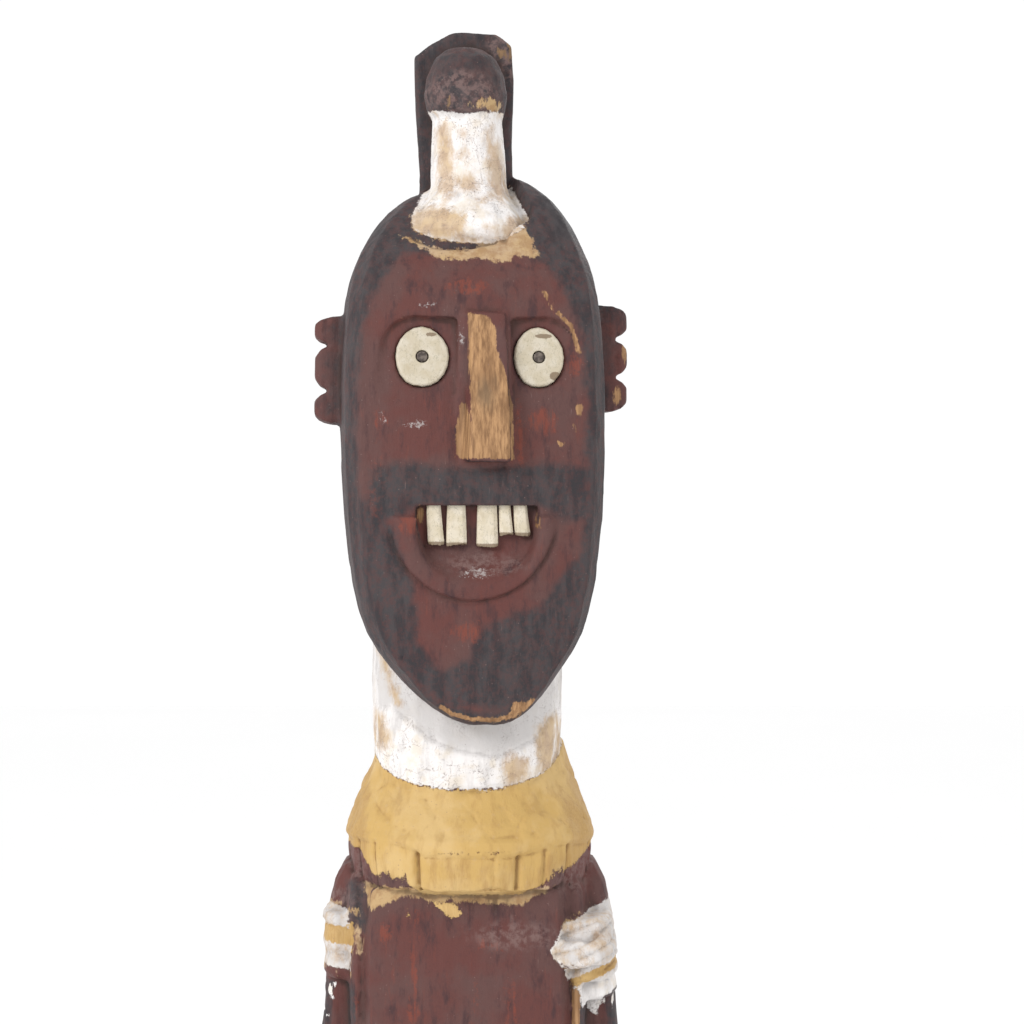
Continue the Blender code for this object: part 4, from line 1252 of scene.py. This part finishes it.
class Wiring:
    """A material's node tree, with short calls for the nodes that the finishes share."""

    def __init__(self, name: str) -> None:
        """Starts a material with one shader.

        Args:
            name: The material's name.
        """
        self.material = bpy.data.materials.new(name)
        self.material.use_nodes = True
        self.tree = self.material.node_tree
        self.tree.nodes.clear()
        self.shader = self.tree.nodes.new("ShaderNodeBsdfPrincipled")
        output = self.tree.nodes.new("ShaderNodeOutputMaterial")
        self.tree.links.new(self.shader.outputs["BSDF"], output.inputs["Surface"])
        self.place = self.tree.nodes.new("ShaderNodeTexCoord").outputs["Object"]

    def feed(self, target: Socket, value: Fed) -> None:
        """Links a socket to an output, or sets its number or colour.

        Args:
            target: The input.
            value: An output to link, or what to set.
        """
        if isinstance(value, bpy.types.NodeSocket):
            self.tree.links.new(value, target)
        else:
            target.default_value = value

    def add(self, kind: str, inputs: dict[str | int, Fed], **settings: str | bool) -> bpy.types.Node:
        """Adds a node.

        Args:
            kind: Blender's name of it, without what all the names start with.
            inputs: What each input takes, by the input's name or number.
            **settings: The node's other settings.

        Returns:
            The node.
        """
        node = self.tree.nodes.new(f"ShaderNode{kind}")
        for name, value in settings.items():
            setattr(node, name, value)
        for name, value in inputs.items():
            self.feed(node.inputs[name], value)
        return node

    def stretch(self, x: float, y: float, z: float) -> Socket:
        """The object's own coordinates, scaled; below 1 upwards draws marks out along the log."""
        return self.add("VectorMath", {0: self.place, 1: (x, y, z)}, operation="MULTIPLY").outputs[0]

    def attribute(self, name: str) -> Socket:
        """One of the mesh's own numbers."""
        return self.add("Attribute", {}, attribute_name=name).outputs["Fac"]

    def noise(
        self, size: float, detail: float = 3.0, rough: float = 0.55, place: Socket | None = None
    ) -> Socket:
        """Cloudy noise from 0 to 1.

        Args:
            size: Size of a cloud in millimetres.
            detail: How many finer layers.
            rough: How strong the finer layers are.
            place: Where to look it up, or the object's own coordinates.

        Returns:
            The noise.
        """
        place = self.place if place is None else place
        inputs = {"Vector": place, "Scale": 1.0 / (size * MM), "Detail": detail, "Roughness": rough}
        return self.add("TexNoise", inputs).outputs[0]

    def cells(self, size: float, feature: str = "F1") -> Socket:
        """Distance noise of uneven cells of a size in millimetres."""
        inputs = {"Vector": self.place, "Scale": 1.0 / (size * MM)}
        return self.add("TexVoronoi", inputs, feature=feature).outputs["Distance"]

    def math(self, operation: str, a: Fed, b: Fed = 0.0, c: Fed = 0.0, clamp: bool = False) -> Socket:
        """Arithmetic on up to three values, kept between 0 and 1 if clamp is set."""
        return self.add("Math", {0: a, 1: b, 2: c}, operation=operation, use_clamp=clamp).outputs[0]

    def times(self, a: Fed, b: Fed) -> Socket:
        """One value times another."""
        return self.math("MULTIPLY", a, b)

    def weigh(self, value: Socket, share: float, start: float) -> Socket:
        """Scales a value and adds to it."""
        return self.math("MULTIPLY_ADD", value, share, start)

    def between(self, value: Socket, low: float, high: float) -> Socket:
        """Rises smoothly from 0 to 1 as a value goes from low to high.

        Args:
            value: What is looked at.
            low: Where the rise starts.
            high: Where the rise ends.

        Returns:
            The rise.
        """
        inputs = {
            "Value": value, "From Min": min(low, high), "From Max": max(low, high),
            "To Min": float(low > high), "To Max": float(low < high),
        }
        return self.add("MapRange", inputs, interpolation_type="SMOOTHSTEP").outputs[0]

    def mix(self, share: Fed, a: Fed, b: Fed) -> Socket:
        """Blends two colours."""
        return self.add("Mix", {0: share, 6: a, 7: b}, data_type="RGBA").outputs[2]

    def tint(self, colour: Fed, over: Fed, where: Socket, share: float) -> Socket:
        """Blends a colour over another where a mask lies, at most up to a share of it."""
        return self.mix(self.times(where, share), colour, over)

    def ragged(self, name: str, edge: Socket, wander: float, soft: float, shift: float = 0.0) -> Socket:
        """Where a coat of paint lies, with an uneven edge."""
        moved = self.weigh(edge, 2.0 * wander, shift - wander)
        return self.between(self.math("ADD", self.attribute(name), moved), -soft, soft)

    def bump(self, height: Socket, depth: float, under: Socket | None = None) -> Socket:
        """Fine relief that is too small for the mesh."""
        inputs = {"Strength": 1.0, "Distance": depth * MM, "Height": height}
        return self.add("Bump", inputs if under is None else {**inputs, "Normal": under}).outputs["Normal"]

    def finish(self, colour: Socket, roughness: Socket, normal: Socket, gloss: float) -> bpy.types.Material:
        """Feeds the shader.

        Args:
            colour: Base colour.
            roughness: Roughness.
            normal: Bent normal.
            gloss: Specular level.

        Returns:
            The finished material.
        """
        self.feed(self.shader.inputs["Base Color"], colour)
        self.feed(self.shader.inputs["Roughness"], roughness)
        self.feed(self.shader.inputs["Normal"], normal)
        self.shader.inputs["Specular IOR Level"].default_value = gloss
        return self.material


@dataclass(frozen=True)
class PaintedWood:
    """Bare wood under coats of red-brown, black, ochre and white earth paint, all worn.

    Attributes:
        name: The material's name.
        gloss: Specular level.
    """

    name: str = "painted_wood"
    gloss: float = 0.22
    wood: tuple = shade(174, 135, 96)
    wood_dark: tuple = shade(122, 90, 62)
    wood_grey: tuple = shade(110, 92, 72)
    red: tuple = shade(93, 55, 51)
    red_dusk: tuple = shade(90, 63, 60)
    red_deep: tuple = shade(68, 46, 47)
    ember: tuple = shade(130, 64, 48)
    dust: tuple = shade(126, 102, 98)
    black: tuple = shade(62, 59, 61)
    black_deep: tuple = shade(48, 46, 49)
    yellow: tuple = shade(190, 156, 95)
    yellow_pale: tuple = shade(197, 166, 112)
    yellow_dark: tuple = shade(160, 124, 74)
    white: tuple = shade(226, 222, 220)
    white_grey: tuple = shade(193, 189, 187)
    cream: tuple = shade(210, 196, 174)
    tan: tuple = shade(186, 160, 130)
    tan_dark: tuple = shade(152, 116, 78)
    fleck: tuple = shade(120, 106, 100)
    # Dark brown of grime and painted shade, laid in hollows and grooves
    grime_and_painted_shade: tuple = shade(52, 36, 30)

    def build(self) -> bpy.types.Material:
        """Makes the material.

        Returns:
            The material, which reads the log's attributes.
        """
        w = Wiring(self.name)
        grain = w.noise(1.3, 5.0, 0.6, w.stretch(1.0, 1.0, 0.02))
        fibre = w.noise(0.45, 3.0, 0.6, w.stretch(1.0, 1.0, 0.016))
        brush = w.noise(5.0, 5.0, 0.65, w.stretch(1.0, 1.0, 0.3))
        streaks = w.noise(2.2, 5.0, 0.7, w.stretch(1.0, 1.0, 0.12))
        cloud = w.noise(24.0, 4.0, 0.6)
        mottle = w.noise(2.6, 6.0, 0.75)
        speck = w.noise(1.1, 4.0, 0.7)
        ridge = w.attribute("ridge")
        dusk = w.ragged(Coat.DUSK.value, brush, 4.0, 2.4)
        bare = w.ragged(Coat.BARE.value, w.noise(1.5, 4.0, 0.7, w.stretch(1.0, 1.0, 0.4)), 1.7, 0.3)
        worn = w.between(w.math("ADD", ridge, w.times(speck, 0.7)), 0.92, 1.25)
        bare = w.math("MAXIMUM", bare, w.times(worn, 0.4))

        colour = self.red_paint(w, brush, streaks, cloud, mottle)
        reach = w.attribute(Coat.BLACK.value)
        black_mask = w.ragged(Coat.BLACK.value, w.noise(8.0, 5.0, 0.65), 4.6, 2.4)
        thin = w.weigh(w.between(mottle, 0.62, 0.42), 0.4, 0.56)
        thin = w.math("MAXIMUM", thin, w.times(w.between(reach, 6.0, 12.0), 0.96))
        black = w.mix(w.between(brush, 0.4, 0.62), self.black, self.black_deep)
        colour = w.mix(w.times(black_mask, thin), colour, black)
        dusty = w.times(dusk, w.between(w.noise(3.0, 5.0, 0.7), 0.4, 0.62))
        colour = w.tint(colour, self.dust, dusty, 0.6)
        scratches = w.between(w.noise(0.8, 3.0, 0.6, w.stretch(1.0, 1.0, 0.07)), 0.66, 0.74)
        scratches = w.times(scratches, w.between(cloud, 0.42, 0.58))
        colour = w.tint(colour, self.dust, scratches, 0.4)
        colour = w.mix(bare, colour, self.bare_wood(w, grain, fibre, dusk))

        dry_brush = w.noise(2.4, 6.0, 0.72, w.stretch(1.0, 1.0, 0.4))
        tan_mask = w.ragged(Coat.TAN.value, dry_brush, 4.6, 0.6)
        tan = w.tint(self.tan, self.yellow, w.between(cloud, 0.4, 0.6), 0.5)
        tan = w.tint(tan, self.tan_dark, w.between(w.noise(5.0, 4.0, 0.65), 0.42, 0.62), 0.6)
        tan = w.tint(tan, self.tan_dark, w.between(mottle, 0.5, 0.7), 0.5)
        colour = w.tint(colour, tan, tan_mask, 0.88)
        yellow_mask = w.ragged(Coat.YELLOW.value, w.noise(1.7, 5.0, 0.75), 2.6, 0.35)
        colour = w.mix(yellow_mask, colour, self.yellow_paint(w, fibre, brush, cloud, mottle, dusk, ridge))
        white_mask = w.ragged(Coat.WHITE.value, w.noise(2.2, 6.0, 0.72), 2.2, 0.3, 0.8)
        colour = w.mix(white_mask, colour, self.white_paint(w, brush, speck, dusk, tan))

        chalk = w.times(w.ragged(Coat.CHALK.value, speck, 4.0, 0.3, -1.3), w.between(mottle, 0.45, 0.6))
        colour = w.tint(colour, self.white_grey, chalk, 0.6)
        crumbs = w.times(w.between(w.cells(3.0), 0.085, 0.05), w.between(cloud, 0.35, 0.6))
        colour = w.tint(colour, self.dust, crumbs, 0.65)
        # Painted shade with grime: the colour darkens in hollows, grooves and inward bends, where shade
        # falls, and less on white and yellow paint.
        hollow = w.math("ADD", w.attribute("hollow"), w.times(speck, 0.12))
        grime_and_painted_shade = w.times(w.between(hollow, 0.14, 0.85), 0.62)
        grime_and_painted_shade = w.math("MAXIMUM", grime_and_painted_shade, w.times(w.between(ridge, -0.12, -0.6), 0.7))
        pale = w.times(w.math("MAXIMUM", white_mask, yellow_mask), 0.6)
        grime_and_painted_shade = w.times(grime_and_painted_shade, w.math("SUBTRACT", 1.0, pale))
        colour = w.mix(grime_and_painted_shade, colour, self.grime_and_painted_shade)

        rough = w.weigh(cloud, 0.2, 0.52)
        rough = w.math("SUBTRACT", rough, w.times(white_mask, 0.14), clamp=True)
        normal = w.bump(grain, 0.10)
        normal = w.bump(fibre, 0.05, normal)
        normal = w.bump(brush, 0.30, normal)
        normal = w.bump(mottle, 0.22, normal)
        normal = w.bump(w.math("MAXIMUM", white_mask, yellow_mask), 0.14, normal)
        return w.finish(colour, rough, normal, self.gloss)

    def bare_wood(self, w: Wiring, grain: Socket, fibre: Socket, dusk: Socket) -> Socket:
        """Wood worn clean of paint, with long fibres and grey stains.

        Args:
            w: The material's wiring.
            grain: Broad fibres.
            fibre: Fine fibres.
            dusk: Where it is dirty.

        Returns:
            Its colour.
        """
        colour = w.mix(w.between(grain, 0.34, 0.68), self.wood, self.wood_dark)
        colour = w.tint(colour, self.wood_dark, w.between(fibre, 0.5, 0.72), 0.25)
        stains = w.between(w.noise(8.0, 1.0, 0.4, w.stretch(1.0, 1.0, 0.4)), 0.48, 0.66)
        colour = w.tint(colour, self.wood_dark, stains, 0.5)
        return w.tint(colour, self.wood_grey, dusk, 0.6)

    def red_paint(self, w: Wiring, brush: Socket, streaks: Socket, cloud: Socket, mottle: Socket) -> Socket:
        """Dark red-brown paint, streaked and mottled.

        Args:
            w: The material's wiring.
            brush: Brush marks.
            streaks: Fine upright streaks.
            cloud: Broad changes of tone.
            mottle: Fine changes of tone.

        Returns:
            Its colour.
        """
        colour = w.mix(w.between(cloud, 0.38, 0.62), self.red, self.red_dusk)
        colour = w.mix(w.between(brush, 0.5, 0.72), colour, self.red_deep)
        colour = w.tint(colour, self.ember, w.between(streaks, 0.58, 0.72), 0.22)
        colour = w.tint(colour, self.red_deep, w.between(mottle, 0.52, 0.75), 0.45)
        ember = w.times(w.ragged(Coat.EMBER.value, mottle, 6.0, 1.2), w.between(streaks, 0.4, 0.56))
        return w.tint(colour, self.ember, ember, 0.55)

    def yellow_paint(
        self, w: Wiring, fibre: Socket, brush: Socket, cloud: Socket, mottle: Socket, dusk: Socket,
        ridge: Socket,
    ) -> Socket:
        """Matte ochre, with brown fibres where it is thin, and painted shade where the surface bends inwards.

        Args:
            w: The material's wiring.
            fibre: Fine fibres.
            brush: Brush marks.
            cloud: Broad changes of tone.
            mottle: Fine changes of tone.
            dusk: Where it is thin.
            ridge: How the surface bends.

        Returns:
            Its colour.
        """
        colour = w.mix(w.between(cloud, 0.4, 0.6), self.yellow, self.yellow_pale)
        colour = w.tint(colour, self.yellow_dark, w.between(brush, 0.48, 0.7), 0.4)
        colour = w.tint(colour, self.tan, w.between(mottle, 0.55, 0.72), 0.3)
        colour = w.tint(colour, self.tan_dark, dusk, 0.3)
        fibres = w.times(w.between(fibre, 0.42, 0.66), w.times(dusk, 0.5))
        colour = w.mix(fibres, colour, self.yellow_dark)
        # Painted shade: darker ochre in creases and notches, where the surface bends inwards.
        return w.mix(w.between(ridge, -0.04, -0.4), colour, self.yellow_dark)

    def white_paint(self, w: Wiring, brush: Socket, speck: Socket, dusk: Socket, tan: Socket) -> Socket:
        """Thick white over tan, with flecks and fine cracks.

        Args:
            w: The material's wiring.
            brush: Brush marks.
            speck: Fine specks.
            dusk: Where it is greyer and smoother.
            tan: The tan coat's colour.

        Returns:
            Its colour.
        """
        colour = w.mix(w.between(brush, 0.45, 0.75), self.white, self.white_grey)
        colour = w.tint(colour, self.cream, w.between(w.noise(9.0, 4.0, 0.6), 0.48, 0.66), 0.5)
        # Greyer where the dusk coat lies; on the upper neck this grey is painted shade under the chin.
        colour = w.tint(colour, self.white_grey, dusk, 0.85)
        tan_mask = w.ragged(Coat.TAN.value, w.noise(3.4, 6.0, 0.75, w.stretch(1.0, 1.0, 0.6)), 5.0, 2.2)
        colour = w.tint(colour, tan, tan_mask, 0.8)
        clusters = w.times(w.between(w.noise(10.0, 2.0), 0.4, 0.56), w.weigh(dusk, -0.45, 1.0))
        flecks = w.between(w.noise(1.0, 5.0, 0.8), 0.43, 0.38)
        broken = w.times(w.between(speck, 0.42, 0.55), 0.55)
        cracks = w.times(w.between(w.cells(6.0, "DISTANCE_TO_EDGE"), 0.035, 0.010), broken)
        marks = w.times(w.math("MAXIMUM", flecks, cracks), clusters)
        return w.tint(colour, self.fleck, marks, 0.8)


@dataclass(frozen=True)
class Shell:
    """Worn shell or bone, cream with fine lines, brown where it is broken and where its surface bends
    inwards.

    Attributes:
        name: The material's name.
        gloss: Specular level.
    """

    name: str = "shell"
    gloss: float = 0.45
    cream: tuple = shade(196, 184, 160)
    pale: tuple = shade(208, 198, 180)
    stain: tuple = shade(168, 154, 128)
    green_grey: tuple = shade(134, 128, 106)
    broken: tuple = shade(104, 82, 58)

    def build(self) -> bpy.types.Material:
        """Makes the material.

        Returns:
            The material, which reads a piece's attributes.
        """
        w = Wiring(self.name)
        cloud = w.noise(5.0, 4.0, 0.6)
        fine = w.noise(0.7, 4.0, 0.65)
        veins = w.noise(3.0, 4.0, 0.6, w.stretch(1.0, 1.0, 0.6))
        lines = w.between(w.math("ABSOLUTE", w.weigh(veins, 1.0, -0.5)), 0.014, 0.0)
        colour = w.mix(w.between(cloud, 0.35, 0.65), self.cream, self.pale)
        colour = w.tint(colour, self.stain, w.between(veins, 0.55, 0.72), 0.4)
        colour = w.tint(colour, self.green_grey, lines, 0.6)
        pits = w.between(w.cells(1.6), 0.16, 0.08)
        colour = w.tint(colour, self.green_grey, pits, 0.35)
        ridge = w.attribute("ridge")
        # Browner where the surface bends inwards.
        colour = w.tint(colour, self.broken, w.between(ridge, -0.1, -0.7), 0.8)
        broken = w.between(w.math("ADD", w.attribute("broken"), w.weigh(fine, 0.8, -0.4)), 0.12, 0.5)
        colour = w.tint(colour, self.broken, broken, 0.8)
        rough = w.math("ADD", w.times(fine, 0.25), 0.32)
        normal = w.bump(fine, 0.05)
        normal = w.bump(veins, 0.05, normal)
        return w.finish(colour, rough, normal, self.gloss)


@dataclass(frozen=True)
class DarkWood:
    """Dull grey-brown end grain of the pegs.

    Attributes:
        name: The material's name.
        gloss: Specular level.
    """

    name: str = "dark_wood"
    gloss: float = 0.3
    grey: tuple = shade(112, 102, 94)
    dark: tuple = shade(66, 58, 54)

    def build(self) -> bpy.types.Material:
        """Makes the material.

        Returns:
            The material.
        """
        w = Wiring(self.name)
        fine = w.noise(0.35, 4.0, 0.7)
        rings = w.noise(1.6, 3.0, 0.6)
        colour = w.mix(w.between(rings, 0.35, 0.65), self.grey, self.dark)
        colour = w.tint(colour, self.dark, w.between(fine, 0.55, 0.7), 0.6)
        rough = w.math("ADD", w.times(fine, 0.2), 0.55)
        return w.finish(colour, rough, w.bump(fine, 0.06), self.gloss)


@dataclass(frozen=True)
class Lamp:
    """A soft lamp of the studio.

    Attributes:
        name: The lamp's name.
        place: Where it stands, in metres.
        size: Width of its face, in metres.
        power: Watts.
    """

    name: str
    place: tuple[float, float, float]
    size: float
    power: float


class Studio:
    """Pale floor, soft lamps and the camera at the photograph's angle."""

    CAMERA_PLACE = (0.0189, -1.092, 0.6784)
    LENS = 91.4
    SENSOR = 36.0
    AIM = Vector((0.0, 0.0, 0.62))
    FLOOR_HALF = 8.0
    LAMPS = (
        Lamp("key", (-1.35, -1.45, 1.55), 0.8, 22.0),
        Lamp("fill", (1.5, -1.2, 0.8), 1.4, 3.0),
        Lamp("back", (0.5, 1.6, 1.6), 1.2, 6.0),
    )

    def build(self) -> None:
        """Sets up everything that isn't part of the figure."""
        self._floor()
        for lamp in self.LAMPS:
            self._lamp(lamp)
        world = bpy.data.worlds.new("studio")
        world.use_nodes = True
        sky = world.node_tree.nodes["Background"]
        sky.inputs["Color"].default_value = (1.0, 1.0, 1.0, 1.0)
        sky.inputs["Strength"].default_value = 1.03
        bpy.context.scene.world = world
        bpy.context.scene.view_settings.view_transform = "Standard"
        self._camera()

    def _floor(self) -> None:
        """A plain pale floor under the base."""
        bm = bmesh.new()
        bmesh.ops.create_grid(bm, x_segments=8, y_segments=8, size=self.FLOOR_HALF)
        mesh = bpy.data.meshes.new("floor")
        bm.to_mesh(mesh)
        bm.free()
        floor = bpy.data.objects.new("floor", mesh)
        bpy.context.scene.collection.objects.link(floor)
        w = Wiring("floor_paint")
        tone = w.mix(w.noise(900.0, 2.0), shade(250, 250, 250), shade(252, 252, 252))
        rough = w.math("ADD", w.times(w.noise(40.0, 3.0), 0.1), 0.7)
        mesh.materials.append(w.finish(tone, rough, w.bump(w.noise(8.0, 2.0), 0.02), 0.2))

    def _lamp(self, lamp: Lamp) -> None:
        """Hangs one lamp and turns it to the figure.

        Args:
            lamp: The lamp.
        """
        light = bpy.data.lights.new(lamp.name, "AREA")
        light.shape = "DISK"
        light.size = lamp.size
        light.energy = lamp.power
        obj = bpy.data.objects.new(lamp.name, light)
        obj.location = lamp.place
        obj.rotation_euler = (self.AIM - Vector(lamp.place)).to_track_quat("-Z", "Y").to_euler()
        bpy.context.scene.collection.objects.link(obj)

    def _camera(self) -> None:
        """Places the camera where the photograph was taken from."""
        camera = bpy.data.cameras.new("camera")
        camera.lens = self.LENS
        camera.sensor_width = self.SENSOR
        obj = bpy.data.objects.new("camera", camera)
        obj.location = self.CAMERA_PLACE
        obj.rotation_euler = (math.pi / 2.0, 0.0, 0.0)
        bpy.context.scene.collection.objects.link(obj)
        bpy.context.scene.camera = obj


def main() -> None:
    """Builds every piece and the studio."""
    logging.basicConfig(level=logging.INFO, format="%(name)s: %(message)s")
    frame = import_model()
    nodes = frame["nodes"]
    Log(nodes).build()
    shell = Shell().build()
    dark_wood = DarkWood().build()
    disc_shell = Shell("disc_shell", cream=shade(183, 172, 150), pale=shade(194, 185, 168)).build()
    for side in ("left", "right"):
        Disc(nodes, side).build(disc_shell)
        Peg(nodes, f"eye_peg_{side}", "dark_wood").build(dark_wood)
    for number in range(1, 6):
        Tooth(nodes, number).build(shell)
    Studio().build()


if __name__ == "__main__":
    main()
